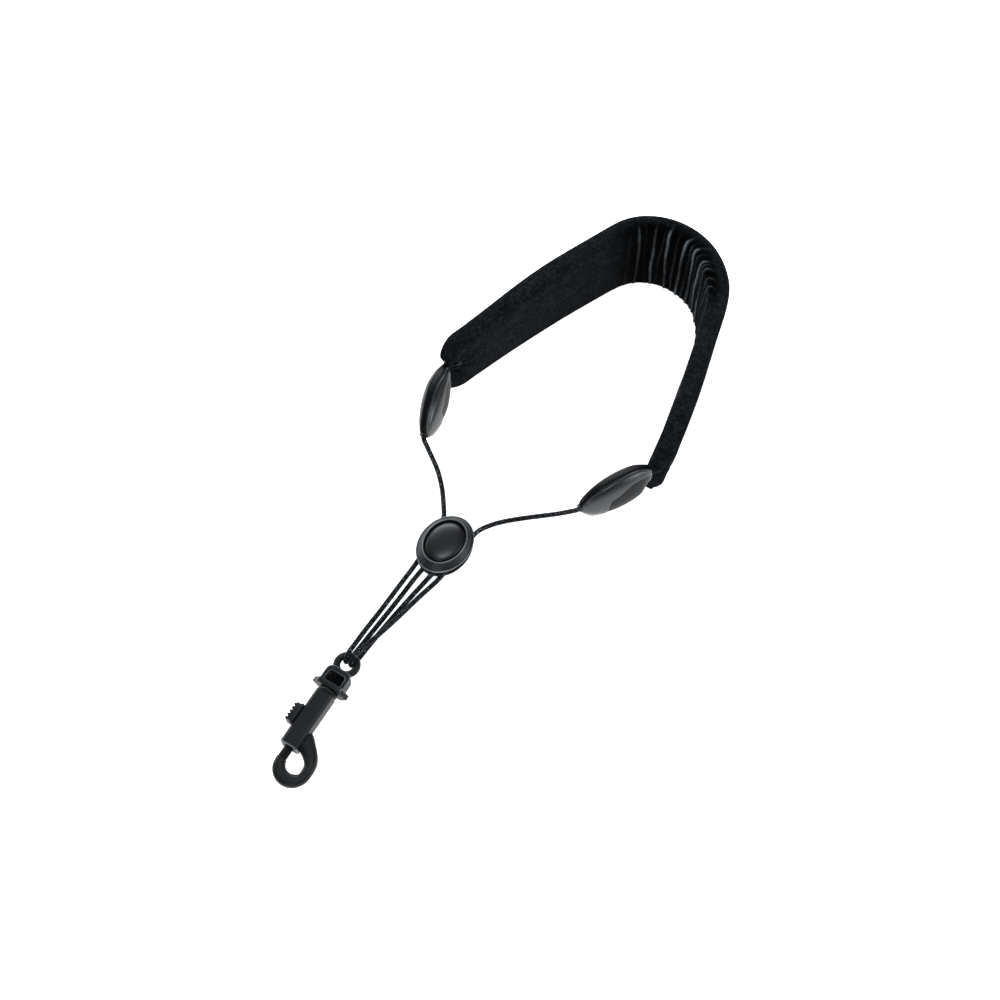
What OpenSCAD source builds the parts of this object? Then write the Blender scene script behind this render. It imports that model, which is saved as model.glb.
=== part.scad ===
// Saxophone neck strap, laid open on a table: a padded band standing on its lower edge,
// a cord with a sliding adjuster, and a swivelling snap hook.
// Millimetres. +Y points to the back of the neck, -Y to the hook, +Z up from the table.

/* [Padded band] */
// Thickness of the padded band
pad_t = 10; // [8:0.5:12]
// Width of the band at the back of the neck
pad_w_back = 47; // [44:1:52]
// Width of the band at its two ends
pad_w_end = 35; // [33:1:40]
// Thickness of the cover fabric with its lining
cover_t = 1.2; // [0.8:0.1:1.4]
// Width of the load webbing inside the band
webbing_w = 24; // [16:1:26]

/* [Cord] */
// Diameter of the braided cord
cord_d = 2.5; // [2.2:0.1:2.8]

/* [End caps] */
// Height of an end cap across its broad face
cap_h = 19; // [18:0.5:21]
// Thickness of an end cap
cap_t = 10; // [10:0.5:12]
// Wall of an end cap
cap_wall = 1.5; // [1.2:0.1:1.6]
// How far the left cap turns in from the strap's length
left_cap_angle = 20; // [15:1:25]
// How far the right cap turns in from the strap's length
right_cap_angle = 25; // [20:1:30]

/* [Adjuster] */
// Width of the adjuster
adj_w = 26; // [25:0.5:28]
// Length of the adjuster
adj_l = 33; // [32:0.5:36]
// Height of the adjuster's rim
adj_h = 10; // [10:0.5:11]
// Travel of the release button
button_travel = 1.2; // [0.8:0.1:1.2]

/* [Snap hook] */
// Side of the square barrel
barrel_w = 9; // [8.8:0.1:9.4]
// Diameter of the sliding bolt
bolt_d = 4.4; // [4:0.1:4.6]
// Travel of the bolt
bolt_travel = 6.2; // [5:0.2:8.2]
// Inner radius of the hook's throat
throat_r = 4.2; // [4:0.1:4.4]
// Inner radius of the swivel eye
eye_r = 3.7; // [3.7:0.1:4]

/* [Hidden] */
$fn = 48;
// Longer than the whole strap is wide
far = 300;

// Padded band: start, heading and runs of its middle line, from the left end over the back
// of the neck to the right end. A run is its length, how far it turns and its number of steps.
pad_start = [-59.2, 46.9];
pad_heading = 15.1;
pad_runs = [[107.7, 6.3, 3], [15.4, 34.9, 5], [47.4, 77.7, 10], [23.7, 32, 4],
            [31.6, -2.5, 2], [49.5, 6.3, 2]];
pad_y_end = 48.2;
pad_y_back = 168.2;
pad_gap = 0.1;
foam_outer = 1.8;
webbing_t = 1.6;
webbing_z = 18;

// Hinge axes where the webbing tabs bend, and the height of the caps' middle
left_axis = [-58.9, 44.4];
right_axis = [58.6, 53.6];
cap_z = 19.5;
tab_t = 3.2;
tab_h = 9;
hinge_gap = 0.15;

// End cap, from the hinge axis towards the cord
cap_start = 1.9;
cap_belly = 18.9;
cap_end = 40.9;
cap_end_h = 5.6;
cap_end_t = 4;
cap_round = 1.2;
pin_at = 8;
pin_r = 1.3;
pin_l = 14.4;
loop_r = 2.2;
knot_at = 31.5;
knot_r = 2.3;
cord_hole_r = cord_d / 2 + 0.15;
way_room = 0.1;
way_more = 4.5;
seam = 20;

// Adjuster: its centre, the height of the cords in it, and its inner parts
adj_at = [-5, -32.3];
cord_z = 5;
shell_wall = 1.8;
floor_t = 1.2;
roof_z = 8.6;
rim_step = 1;
rim_h = 1.2;
lip_h = 0.7;
lip_w = 0.9;
opening_w = 18.2;
opening_l = 22.8;
button_gap = 0.2;
flange_z = 7.8;
flange_top = 8.5;
flange_w = 18.8;
flange_l = 23.4;
button_h = 11.1;
button_step = 1;
button_edge = 0.6;
lock_y = 2;
lock_x = 8;
ledge_w = 4.8;
ledge_h = 0.65;
ledge_room = 0.4;
bar_r = 0.8;
bar_l = 21;
bar_z = 2.9;
bar_room = 0.3;
groove_gap = 0.15;
groove_z = bar_z - bar_r - button_travel - groove_gap;
leg_x = 4.5;
leg_w = 2;
leg_l = 3;
turn_at = [1.2, -9];
post_r = 1.2;
lock_spring_at = [0, 8];
lock_spring_r = 2.2;
spring_gap = 0.05;

// Snap hook: the middle of the swivel plate, the height of its axis and the turn of the hook
hook_at = [-5.5, -122.8];
hook_z = 5.5;
hook_turn = 3.5;
swivel_gap = 0.2;
plate_t = 1.8;
plate_w = 19.4;
plate_flat = 12;
swivel_r = 2.5;
swivel_play = 0.08;
rivet_head_r = 3.9;
rivet_head_t = 2;
rivet_end = -5.5;
eye_wire_r = 1.4;
eye_y = 13.75;
bracket_w = 12.8;
bracket_z = 7.6;
bracket_top = 9.9;
window_w = 8.6;
window_top = 7.2;
shoulder = 2.7;
collar_r = 4.9;
barrel_top = -3.2;
barrel_end = -33.3;
barrel_chamfer = 1.1;
chamber_r = 3;
chamber_top = -6.5;
chamber_end = -23.9;
bolt_play = 0.07;
bolt_head_top = -18.5;
bolt_head_end = -23.6;
loop_at = [7, -40.2];
loop_tube = 5.2;
land_h = 4;
tip_y = -39.2;
tip_gap = 0.1;
spine_y = -37.6;
spine_top = -22;
spine_outer = [[9.4, -26.8], [13.4, -29.6], [15.8, -32.8], [16.4, -36.6]];
spine_inner = [[11.2, -37], [10.2, -35.8]];
slot_w = 3.2;
slot_end = -23.6;
slot_play = 0.1;
trigger_peg_r = 1.2;
trigger_y = -21;
trigger_top = -14;
trigger_end = -23.3;
trigger_x = -9;
trigger_w = 8;
trigger_teeth = 5;
tooth_depth = 0.9;
wire_r = 0.25;

// Cord routes, from each cap's knot to the lock in the adjuster
upper_left_route = [
    [-47.7, 13.5, 19.5], [-44.9, 6, 19.5], [-44.4, 4.6, 19.2], [-43.2, 3.7, 17.6],
    [-41.5, 3.1, 15.3], [-39.8, 2.5, 13], [-36.1, 1.1, 8.5], [-32.3, -0.9, 5],
    [-28.7, -3.7, 2.6], [-24.9, -7.4, 1.6], [-21.1, -11.8, 2], [-18.2, -15.1, 3.2],
    [-15.5, -17.4, 4.7], [-14.4, -19.4, 5], [-14.1, -21.8, 5], [-13.1, -30.3, 5]];
upper_right_route = [
    [44.7, 23.8, 19.5], [41.3, 16.5, 19.5], [40.5, 15.5, 18.6], [38.9, 15.4, 15.7],
    [36.4, 14.7, 12.8], [31.2, 12.4, 8.2], [26, 9.7, 4.9], [21, 6.6, 2.6], [16.4, 2.9, 1.6],
    [12.1, -1.4, 1.6], [8.1, -6.1, 1.8], [4.9, -11.4, 2.9], [3.3, -15.7, 4.7], [3, -18.8, 5],
    [3, -21.8, 5], [3, -30.3, 5]];
// Cord routes from the lock, round the swivel eye and back up into the adjuster
lower_left_route = [
    [-13.1, -30.3, 5], [-12.1, -38.8, 5], [-11.1, -47.3, 5], [-10.7, -58.8, 5], [-10.3, -70.8, 5.2],
    [-9.8, -82.8, 6.2], [-9.2, -92.8, 7.8], [-8.6, -99.8, 9], [-8.3, -104, 9.2],
    [-8, -106.6, 8.2], [-7.9, -107.85, 5.5], [-7.95, -106.6, 2.8], [-8, -104, 1.9],
    [-7.9, -97.8, 1.7], [-7.8, -85.8, 1.7], [-7.6, -73.8, 2], [-7.3, -61.8, 3.2], [-6.9, -51.8, 4.6],
    [-6.6, -47.3, 5], [-6.6, -41.3, 5], [-6.2, -39.9, 5], [-5.2, -38.85, 5],
    [-4.3, -38.5, 5], [-3.8, -38.5, 5]];
lower_right_route = [
    [-3.8, -38.5, 5], [-3.3, -38.5, 5], [-2.4, -38.85, 5], [-1.4, -39.9, 5],
    [-1, -41.3, 5], [-1.2, -47.3, 5], [-1.8, -52.8, 4.6],
    [-3, -62.8, 3.2], [-4.1, -74.8, 2], [-4.65, -86.8, 1.7], [-4.85, -97.8, 1.7], [-4.9, -104, 1.9],
    [-4.9, -106.6, 2.8], [-4.84, -107.85, 5.5], [-4.9, -106.6, 8.2], [-4.9, -104, 9.2],
    [-4.4, -99.8, 9], [-3.2, -91.8, 7.8], [-1.8, -81.8, 6.4], [-0.3, -69.8, 5.4], [1.4, -57.8, 5],
    [3, -47.3, 5], [3, -38.8, 5], [3, -30.3, 5]];

// ---- Helpers ----

// The middle line of the band as [x, y, heading]
function pad_path(run = 0, step = 0, p = pad_start, h = pad_heading) =
    run >= len(pad_runs) ? [[p.x, p.y, h]] :
    let (r = pad_runs[run], dl = r[0] / r[2], dh = r[1] / r[2], mid = h + dh / 2,
         q = [p.x + dl * sin(mid), p.y + dl * cos(mid)], last = step + 1 >= r[2])
    concat([[p.x, p.y, h]],
           pad_path(last ? run + 1 : run, last ? 0 : step + 1, q, h + dh));
// The band's middle line moved outwards by n
function pad_side(n) = [for (s = pad_path()) [s[0] - n * cos(s[2]), s[1] + n * sin(s[2])]];
function before_end(v, i) = v[len(v) - 1 - i];
function reversed(v) = [for (i = [len(v) - 1 : -1 : 0]) v[i]];
function oval(w, l, n = 48) = [for (i = [0 : n - 1]) [w / 2 * cos(360 * i / n), l / 2 * sin(360 * i / n)]];
// Radius of an arc that is h high over half a chord of c
function arc_r(c, h) = (c * c + h * h) / (2 * h);

function unit(v) = v / norm(v);
function along(p, i) = unit(p[min(i + 1, len(p) - 1)] - p[max(i - 1, 0)]);
// Up vectors carried along a route without twist
function carried(p, i, up) =
    i == len(p) ? [] :
    let (t = along(p, i), u = unit(up - (up * t) * t)) concat([u], carried(p, i + 1, u));
// A tube through the points p
module tube(p, r, sides) {
    ups = carried(p, 0, [0, 0, 1]);
    points = [for (i = [0 : len(p) - 1]) let (t = along(p, i), s = cross(t, ups[i]))
              for (k = [0 : sides - 1])
              p[i] + r * (cos(360 * k / sides) * s + sin(360 * k / sides) * ups[i])];
    last = (len(p) - 1) * sides;
    walls = [for (i = [0 : len(p) - 2]) for (k = [0 : sides - 1])
             [i * sides + k, (i + 1) * sides + k, (i + 1) * sides + (k + 1) % sides,
              i * sides + (k + 1) % sides]];
    polyhedron(points, concat([[for (k = [0 : sides - 1]) k]],
               [[for (k = [sides - 1 : -1 : 0]) last + k]], walls));
}
// A coil spring along +Z
module coil(r, length, turns) {
    steps = 12;
    rise = (length - 2 * wire_r) / (turns * steps);
    tube([for (i = [0 : turns * steps])
          [r * cos(360 * i / steps), r * sin(360 * i / steps), wire_r + i * rise]], wire_r, 6);
}

// ---- Padded band ----

// A layer of the band between two distances from its middle line, up to its sloping top edge
module pad_layer(inside, outside, bottom, under_top) {
    slope = (pad_w_back - pad_w_end) / (pad_y_back - pad_y_end);
    intersection() {
        translate([0, 0, bottom])
            linear_extrude(pad_w_back + far / 10)
                polygon(concat(pad_side(inside), reversed(pad_side(outside))));
        rotate([90, 0, 90]) translate([0, 0, -far / 2]) linear_extrude(far)
            polygon([[0, -1], [far, -1],
                     [far, pad_w_end - under_top + slope * (far - pad_y_end)],
                     [0, pad_w_end - under_top - slope * pad_y_end]]);
    }
}

module pad_foam() color("dimgray")
    pad_layer(-pad_t / 2 + cover_t + pad_gap, foam_outer, cover_t + pad_gap, cover_t + pad_gap);

// The inner cover turns round both long edges of the foam
module pad_cover_inner() color("black")
    difference() {
        pad_layer(-pad_t / 2, pad_t / 2 - cover_t - pad_gap, 0, 0);
        pad_layer(-pad_t / 2 + cover_t, pad_t / 2, cover_t, cover_t);
    }

module pad_cover_outer() color("black")
    pad_layer(pad_t / 2 - cover_t, pad_t / 2, 0, 0);

module load_webbing() color("darkslategray")
    intersection() {
        pad_layer(foam_outer + pad_gap / 2, foam_outer + pad_gap / 2 + webbing_t,
                  webbing_z - webbing_w / 2, 0);
        translate([-far / 2, 0, 0]) cube([far, far, webbing_z + webbing_w / 2]);
    }

// A webbing tab from the end of the band to the axis where it bends
module tab(end, axis) {
    out = unit([end.x, end.y] - axis);
    side = tab_t / 2 * [-out.y, out.x];
    face = tab_t / 2 * [-cos(end[2]), sin(end[2])];
    way = side * face > 0 ? 1 : -1;
    translate([0, 0, cap_z - tab_h / 2]) linear_extrude(tab_h) {
        polygon([[end.x, end.y] + way * face, axis + side, axis - side,
                 [end.x, end.y] - way * face]);
        translate(axis) circle(d = tab_t);
    }
}

module left_tab() color("black") tab(pad_path()[0], left_axis);
module right_tab() color("black") tab(pad_path()[len(pad_path()) - 1], right_axis);

// ---- End caps ----

// Places a cap with its length along +X from the hinge axis
module in_left_cap() translate([left_axis.x, left_axis.y, cap_z])
    rotate(left_cap_angle - 90) children();
module in_right_cap() translate([right_axis.x, right_axis.y, cap_z])
    rotate(-right_cap_angle - 90) children();

// Leaf-shaped solid: two arcs bound its height and two its thickness
module cap_solid(inset) {
    reach = cap_end - cap_belly;
    h_r = arc_r(reach, (cap_h - cap_end_h) / 2);
    t_r = arc_r(reach, (cap_t - cap_end_t) / 2);
    translate([cap_belly, 0, 0]) intersection() {
        translate([0, 0, cap_h / 2 - h_r]) rotate([90, 0, 0])
            cylinder(r = h_r - inset, h = 2 * cap_t, center = true, $fn = 96);
        translate([0, 0, h_r - cap_h / 2]) rotate([90, 0, 0])
            cylinder(r = h_r - inset, h = 2 * cap_t, center = true, $fn = 96);
        translate([0, cap_t / 2 - t_r, 0])
            cylinder(r = t_r - inset, h = 2 * cap_h, center = true, $fn = 96);
        translate([0, t_r - cap_t / 2, 0])
            cylinder(r = t_r - inset, h = 2 * cap_h, center = true, $fn = 96);
        translate([cap_start - cap_belly + inset, -cap_t, -cap_h])
            cube([cap_end - cap_start - 2 * inset, 2 * cap_t, 2 * cap_h]);
        rotate([90, 0, 90]) translate([0, 0, -cap_end])
            linear_extrude(2 * cap_end)
                polygon(oval(cap_round * cap_t - 2 * inset, cap_round * cap_h - 2 * inset, 32));
    }
}

// Half of a cap shell, on the side given by side = 1 or -1 across its thickness
module cap_shell(side) {
    difference() {
        cap_solid(0);
        cap_solid(cap_wall);
        translate([cap_start - 1, -tab_t / 2 - pad_gap, -tab_h / 2 - pad_gap])
            cube([1 + 2 * cap_wall, tab_t + 2 * pad_gap, tab_h + 2 * pad_gap]);
        translate([cap_end - 3 * cap_wall, 0, 0]) rotate([0, 90, 0])
            cylinder(r = cord_hole_r, h = 4 * cap_wall);
        translate([pin_at, 0, 0]) cylinder(r = pin_r, h = pin_l, center = true);
        translate([-cap_end, side > 0 ? -cap_t : 0, -cap_h]) cube([3 * cap_end, cap_t, 2 * cap_h]);
    }
}

// The end of the webbing in a cap, sewn into a loop round the pin
module webbing_loop() {
    translate([0, 0, -tab_h / 2]) linear_extrude(tab_h) difference() {
        union() {
            translate([0, -tab_t / 2]) square([pin_at, tab_t]);
            translate([pin_at, 0]) circle(r = loop_r);
        }
        circle(r = tab_t / 2 + hinge_gap);
        translate([pin_at, 0]) circle(r = pin_r);
    }
}
module webbing_pin() translate([pin_at, 0, 0]) cylinder(r = pin_r, h = pin_l, center = true);
module cord_knot() translate([knot_at, 0, 0]) sphere(r = knot_r);

module left_cap_inner_shell() color("darkslategray") in_left_cap() cap_shell(1);
module left_cap_outer_shell() color("slategray") in_left_cap() cap_shell(-1);
module left_webbing_loop() color("black") in_left_cap() webbing_loop();
module left_webbing_pin() color("silver") in_left_cap() webbing_pin();
module left_cord_knot() color("black") in_left_cap() cord_knot();
module right_cap_inner_shell() color("darkslategray") in_right_cap() cap_shell(-1);
module right_cap_outer_shell() color("slategray") in_right_cap() cap_shell(1);
module right_webbing_loop() color("black") in_right_cap() webbing_loop();
module right_webbing_pin() color("silver") in_right_cap() webbing_pin();
module right_cord_knot() color("black") in_right_cap() cord_knot();

// ---- Cord ----

module upper_cord_left() color("black") tube(upper_left_route, cord_d / 2, 8);
module upper_cord_right() color("black") tube(upper_right_route, cord_d / 2, 8);
module lower_cord_left() color("black") tube(lower_left_route, cord_d / 2, 8);
module lower_cord_right() color("black") tube(lower_right_route, cord_d / 2, 8);

// ---- Adjuster ----

module in_adjuster() translate([adj_at.x, adj_at.y, 0]) children();

// The cords' straight ways through the shells, where each route is level with the parting plane
module cord_ways() {
    cord_way(before_end(upper_left_route, 1), lower_left_route[2]);
    cord_way(before_end(upper_right_route, 1), before_end(lower_right_route, 2));
    cord_way(before_end(lower_left_route, 4), before_end(lower_left_route, 5));
    cord_way(lower_right_route[4], lower_right_route[5]);
}
// A level way a little wider than the cord, from before a to past b
module cord_way(a, b) {
    d = b - a;
    translate(a - way_more * unit(d)) rotate([0, 90, atan2(d.y, d.x)]) rotate(seam)
        cylinder(r = cord_hole_r + way_room, h = norm(d) + 2 * way_more);
}

module adjuster_bottom_shell() color("dimgray")
    difference() {
        in_adjuster() {
            difference() {
                linear_extrude(cord_z) polygon(oval(adj_w - 1, adj_l - 1));
                translate([0, 0, floor_t]) linear_extrude(cord_z)
                    polygon(oval(adj_w - 1 - 2 * shell_wall, adj_l - 1 - 2 * shell_wall));
                translate([-bar_l / 2 - bar_room, lock_y - leg_l / 2 - bar_room, groove_z])
                    cube([bar_l + 2 * bar_room, leg_l + 2 * bar_room, cord_z]);
            }
            translate([turn_at.x, turn_at.y, 0]) cylinder(r = post_r, h = cord_z + cord_d / 2);
        }
        cord_ways();
    }

module adjuster_top_shell() color("slategray")
    difference() {
        in_adjuster() difference() {
            union() {
                translate([0, 0, cord_z]) linear_extrude(adj_h - cord_z - rim_h)
                    polygon(oval(adj_w, adj_l));
                translate([0, 0, adj_h - rim_h]) linear_extrude(rim_h)
                    polygon(oval(adj_w - 2 * rim_step, adj_l - 2 * rim_step));
                translate([0, 0, adj_h]) linear_extrude(lip_h)
                    polygon(oval(opening_w + 2 * lip_w, opening_l + 2 * lip_w));
            }
            difference() {
                translate([0, 0, cord_z - 1]) linear_extrude(roof_z - cord_z + 1)
                    polygon(oval(adj_w - 1 - 2 * shell_wall, adj_l - 1 - 2 * shell_wall));
                // Ledges that the lock bar pinches the cords against
                for (s = [-1, 1])
                    translate([s * (lock_x + 1) - ledge_w / 2, lock_y - bar_r, cord_z + cord_d / 2 + 0.05])
                        cube([ledge_w, 2 * bar_r, ledge_h]);
            }
            translate([0, 0, roof_z - 1]) linear_extrude(adj_h)
                polygon(oval(opening_w, opening_l));
        }
        cord_ways();
    }

// Oval button with a flange that holds it in, and two legs that carry the lock bar
module release_button() color("darkslategray") in_adjuster() {
    neck_w = opening_w - 2 * button_gap;
    neck_l = opening_l - 2 * button_gap;
    difference() {
        translate([0, 0, flange_z]) linear_extrude(flange_top - flange_z)
            polygon(oval(flange_w, flange_l));
        for (s = [-1, 1]) translate([s * (lock_x + 2) - lock_x / 2, lock_y - bar_r - ledge_room, 0])
            cube([lock_x, 2 * bar_r + 2 * ledge_room, flange_top]);
    }
    translate([0, 0, flange_top]) linear_extrude(button_h - flange_top - button_edge)
        polygon(oval(neck_w, neck_l));
    translate([0, 0, button_h - button_edge]) linear_extrude(button_edge)
        polygon(oval(neck_w - 2 * button_step, neck_l - 2 * button_step));
    difference() {
        for (s = [-1, 1]) translate([s * leg_x - leg_w / 2, lock_y - leg_l / 2, bar_z - bar_r / 2])
            cube([leg_w, leg_l, flange_z - bar_z + bar_r / 2]);
        translate([0, lock_y, bar_z]) rotate([0, 90, 0])
            cylinder(r = bar_r, h = bar_l, center = true);
    }
}

module lock_bar() color("silver") in_adjuster()
    translate([0, lock_y, bar_z]) rotate([0, 90, 0]) cylinder(r = bar_r, h = bar_l, center = true);

module lock_spring() color("silver") in_adjuster()
    translate([lock_spring_at.x, lock_spring_at.y, floor_t + spring_gap])
        coil(lock_spring_r, flange_z - floor_t - 2 * spring_gap, 5);

// ---- Snap hook ----

// Places the hook's parts with +Y along the hook's axis towards the eye
module in_hook() translate([hook_at.x, hook_at.y, hook_z]) rotate(hook_turn) children();
// A cylinder on the hook's axis between two heights
module axial(r, y0, y1) translate([0, y1, 0]) rotate([90, 0, 0]) cylinder(r = r, h = y1 - y0);

module swivel_eye() color("slategray") in_hook()
    difference() {
        union() {
            translate([0, eye_y, 0]) rotate_extrude() translate([eye_r + eye_wire_r, 0])
                circle(r = eye_wire_r);
            translate([0, 0, -bracket_z / 2]) linear_extrude(bracket_z)
                polygon([[-bracket_w / 2, plate_t / 2], [bracket_w / 2, plate_t / 2],
                         [bracket_w / 2, window_top], [bracket_w / 2 - shoulder, bracket_top],
                         [shoulder - bracket_w / 2, bracket_top], [-bracket_w / 2, window_top]]);
            translate([0, plate_t / 2, 0]) rotate([90, 0, 0]) linear_extrude(plate_t)
                polygon([[plate_w / 2, 0], [plate_flat / 2, hook_z], [-plate_flat / 2, hook_z],
                         [-plate_w / 2, 0], [-plate_flat / 2, -hook_z], [plate_flat / 2, -hook_z]]);
        }
        translate([-window_w / 2, plate_t / 2, -bracket_z])
            cube([window_w, window_top - plate_t / 2, 2 * bracket_z]);
        axial(swivel_r + swivel_play, -plate_t, plate_t);
    }

// The rivet that holds the eye on the hook and lets it swivel
module swivel_rivet() color("silver") in_hook() {
    axial(swivel_r, rivet_end, plate_t / 2 + swivel_gap);
    axial(rivet_head_r, plate_t / 2 + swivel_gap, plate_t / 2 + swivel_gap + rivet_head_t);
}

// The hook's round section with a flat land on its inner side
module hook_section() {
    translate([throat_r + loop_tube / 2, 0]) circle(d = loop_tube);
    translate([throat_r, -land_h / 2]) square([loop_tube / 2, land_h]);
}

module hook_body() color("slategray") in_hook() {
    half = barrel_w / 2;
    in = half - barrel_chamfer;
    difference() {
        union() {
            axial(collar_r, barrel_top, -plate_t / 2 - swivel_gap);
            translate([0, barrel_top, 0]) rotate([90, 0, 0]) linear_extrude(barrel_top - barrel_end)
                polygon([[half, in], [in, half], [-in, half], [-half, in],
                         [-half, -in], [-in, -half], [in, -half], [half, -in]]);
        }
        axial(swivel_r, rivet_end, 0);
        axial(chamber_r, chamber_end, chamber_top);
        axial(bolt_d / 2 + bolt_play, barrel_end - 1, chamber_end + 1);
        translate([-barrel_w, slot_end, -slot_w / 2])
            cube([barrel_w, bolt_head_top + bolt_travel + 0.2 - slot_end, slot_w]);
    }
    translate([loop_at.x, loop_at.y, 0]) {
        rotate(180) rotate_extrude(angle = 180) hook_section();
        translate([0, tip_y - loop_at.y, 0]) rotate([90, 0, 0])
            linear_extrude(tip_y - loop_at.y) mirror([1, 0]) hook_section();
        translate([0, spine_y - loop_at.y, 0]) rotate([90, 0, 0])
            linear_extrude(spine_y - loop_at.y) hook_section();
    }
    left = loop_at.x + throat_r;
    translate([0, 0, -loop_tube / 2]) linear_extrude(loop_tube)
        polygon(concat([[half, spine_top]], spine_outer, [[left + loop_tube, spine_y], [left, spine_y]],
                       spine_inner, [[half, barrel_end]]));
}

module latch_bolt() color("gray") in_hook()
    difference() {
        union() {
            axial(bolt_d / 2, tip_y + tip_gap, bolt_head_end);
            axial(chamber_r - bolt_play, bolt_head_end, bolt_head_top);
        }
        translate([0, trigger_y, 0]) rotate([0, -90, 0]) cylinder(r = trigger_peg_r, h = barrel_w);
    }

// Thumb piece: a peg in the bolt, a neck through the slot and a serrated pad outside
module thumb_trigger() color("gray") in_hook() {
    inner = -barrel_w / 2 - 0.2;
    pitch = (trigger_top - trigger_end) / trigger_teeth;
    translate([0, trigger_y, 0]) rotate([0, -90, 0]) cylinder(r = trigger_peg_r, h = chamber_r);
    translate([inner, trigger_end, -slot_w / 2 + slot_play])
        cube([-chamber_r - inner, bolt_head_top - 0.2 - trigger_end, slot_w - 2 * slot_play]);
    translate([0, 0, -trigger_w / 2]) linear_extrude(trigger_w)
        polygon(concat([[inner, trigger_top], [inner, trigger_end]],
            [for (i = [0 : trigger_teeth - 1]) for (k = [0, 1])
             [trigger_x + k * tooth_depth, trigger_end + (i + k * 0.99) * pitch]]));
}

module latch_spring() color("silver") in_hook()
    translate([0, bolt_head_top, 0]) rotate([-90, 0, 0])
        coil(chamber_r - 3 * wire_r, chamber_top - bolt_head_top, 7);

pad_foam();
pad_cover_inner();
pad_cover_outer();
load_webbing();
left_tab();
right_tab();
left_cap_inner_shell();
left_cap_outer_shell();
left_webbing_loop();
left_webbing_pin();
left_cord_knot();
right_cap_inner_shell();
right_cap_outer_shell();
right_webbing_loop();
right_webbing_pin();
right_cord_knot();
upper_cord_left();
upper_cord_right();
adjuster_bottom_shell();
adjuster_top_shell();
release_button();
lock_bar();
lock_spring();
lower_cord_left();
lower_cord_right();
swivel_eye();
swivel_rivet();
hook_body();
latch_bolt();
thumb_trigger();
latch_spring();
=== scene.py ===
import math

import bmesh
import bpy
import numpy as np
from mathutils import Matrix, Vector


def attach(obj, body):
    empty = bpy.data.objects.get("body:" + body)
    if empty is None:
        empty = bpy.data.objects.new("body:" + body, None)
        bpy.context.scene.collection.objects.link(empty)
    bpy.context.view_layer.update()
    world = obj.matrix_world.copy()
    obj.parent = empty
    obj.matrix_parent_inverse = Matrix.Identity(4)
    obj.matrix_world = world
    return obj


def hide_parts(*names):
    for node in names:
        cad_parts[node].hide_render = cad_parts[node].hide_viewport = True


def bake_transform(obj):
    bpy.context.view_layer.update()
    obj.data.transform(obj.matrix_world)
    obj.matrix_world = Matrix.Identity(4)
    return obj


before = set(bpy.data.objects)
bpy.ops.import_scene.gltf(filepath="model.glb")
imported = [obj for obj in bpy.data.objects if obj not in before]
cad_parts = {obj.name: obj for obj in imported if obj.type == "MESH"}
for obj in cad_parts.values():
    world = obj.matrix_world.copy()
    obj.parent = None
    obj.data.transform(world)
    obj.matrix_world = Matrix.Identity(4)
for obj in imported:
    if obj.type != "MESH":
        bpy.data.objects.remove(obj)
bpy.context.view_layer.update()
MM = 0.001
SEED = 11
rng = np.random.default_rng(SEED)
scene = bpy.context.scene


# ---- Camera and light ----

def aim(obj, place, target):
    """Adds a camera or light at a place, turned towards its target."""
    obj.location = Vector(place)
    obj.rotation_euler = (Vector(target) - Vector(place)).to_track_quat("-Z", "Y").to_euler()
    scene.collection.objects.link(obj)
    return obj


camera = aim(bpy.data.objects.new("camera", bpy.data.cameras.new("camera")),
             (0.1964, -0.2732, 0.6683), (0.0011, 0.0057, 0))
camera.data.lens = 54
camera.data.sensor_width = 36
camera.data.clip_start = 0.01
scene.camera = camera


# Name, place, target, size in metres and power in watts
STUDIO_TINT = (0.92, 0.96, 1)
LIGHTS = [
    ("key_light", (0.3, -0.75, 0.6), (0, 0, 0), (0.5, 0.35), 2),
    ("overhead_light", (0.06, -0.02, 1.2), (0, 0, 0), (0.3, 0.3), 4.5),
    ("back_light", (-0.75, 0.8, 0.75), (0, 0.02, 0), (0.9, 0.45), 13),
    ("side_light", (0.95, 0.35, 0.55), (0, 0.05, 0), (0.35, 0.8), 5),
    ("edge_light", (-0.85, -0.12, 0.3), (0.05, 0.08, 0), (0.5, 0.3), 3)]
for name, place, target, size, power in LIGHTS:
    light = bpy.data.lights.new(name, "AREA")
    light.shape = "RECTANGLE"
    light.size, light.size_y = size
    light.energy = power
    light.color = STUDIO_TINT
    aim(bpy.data.objects.new(name, light), place, target)

# The surroundings are pale round the horizon and dim overhead
world = bpy.data.worlds.new("studio")
world.use_nodes = True
sky, wires = world.node_tree.nodes, world.node_tree.links
direction = sky.new("ShaderNodeTexCoord").outputs["Generated"]
split, tint = sky.new("ShaderNodeSeparateXYZ"), sky.new("ShaderNodeValToRGB")
for stop, height, colour in zip(tint.color_ramp.elements, (0.3, 0.5),
                                ((0.9, 0.92, 0.95, 1), (0.093, 0.096, 0.1, 1))):
    stop.position, stop.color = height, colour
wires.new(direction, split.inputs[0])
wires.new(split.outputs["Z"], tint.inputs["Fac"])
wires.new(tint.outputs["Color"], sky["Background"].inputs["Color"])
scene.world = world
scene.view_settings.view_transform = "Standard"


# ---- Mesh helpers ----

def new_mesh(name, points, faces):
    """A smooth-shaded mesh object of the points, in metres, and the faces."""
    mesh = bpy.data.meshes.new(name)
    mesh.from_pydata([tuple(p) for p in np.asarray(points, float)], [], [tuple(f) for f in faces])
    mesh.validate()
    mesh.polygons.foreach_set("use_smooth", [True] * len(mesh.polygons))
    mesh.update()
    obj = bpy.data.objects.new(name, mesh)
    scene.collection.objects.link(obj)
    return obj


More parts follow.
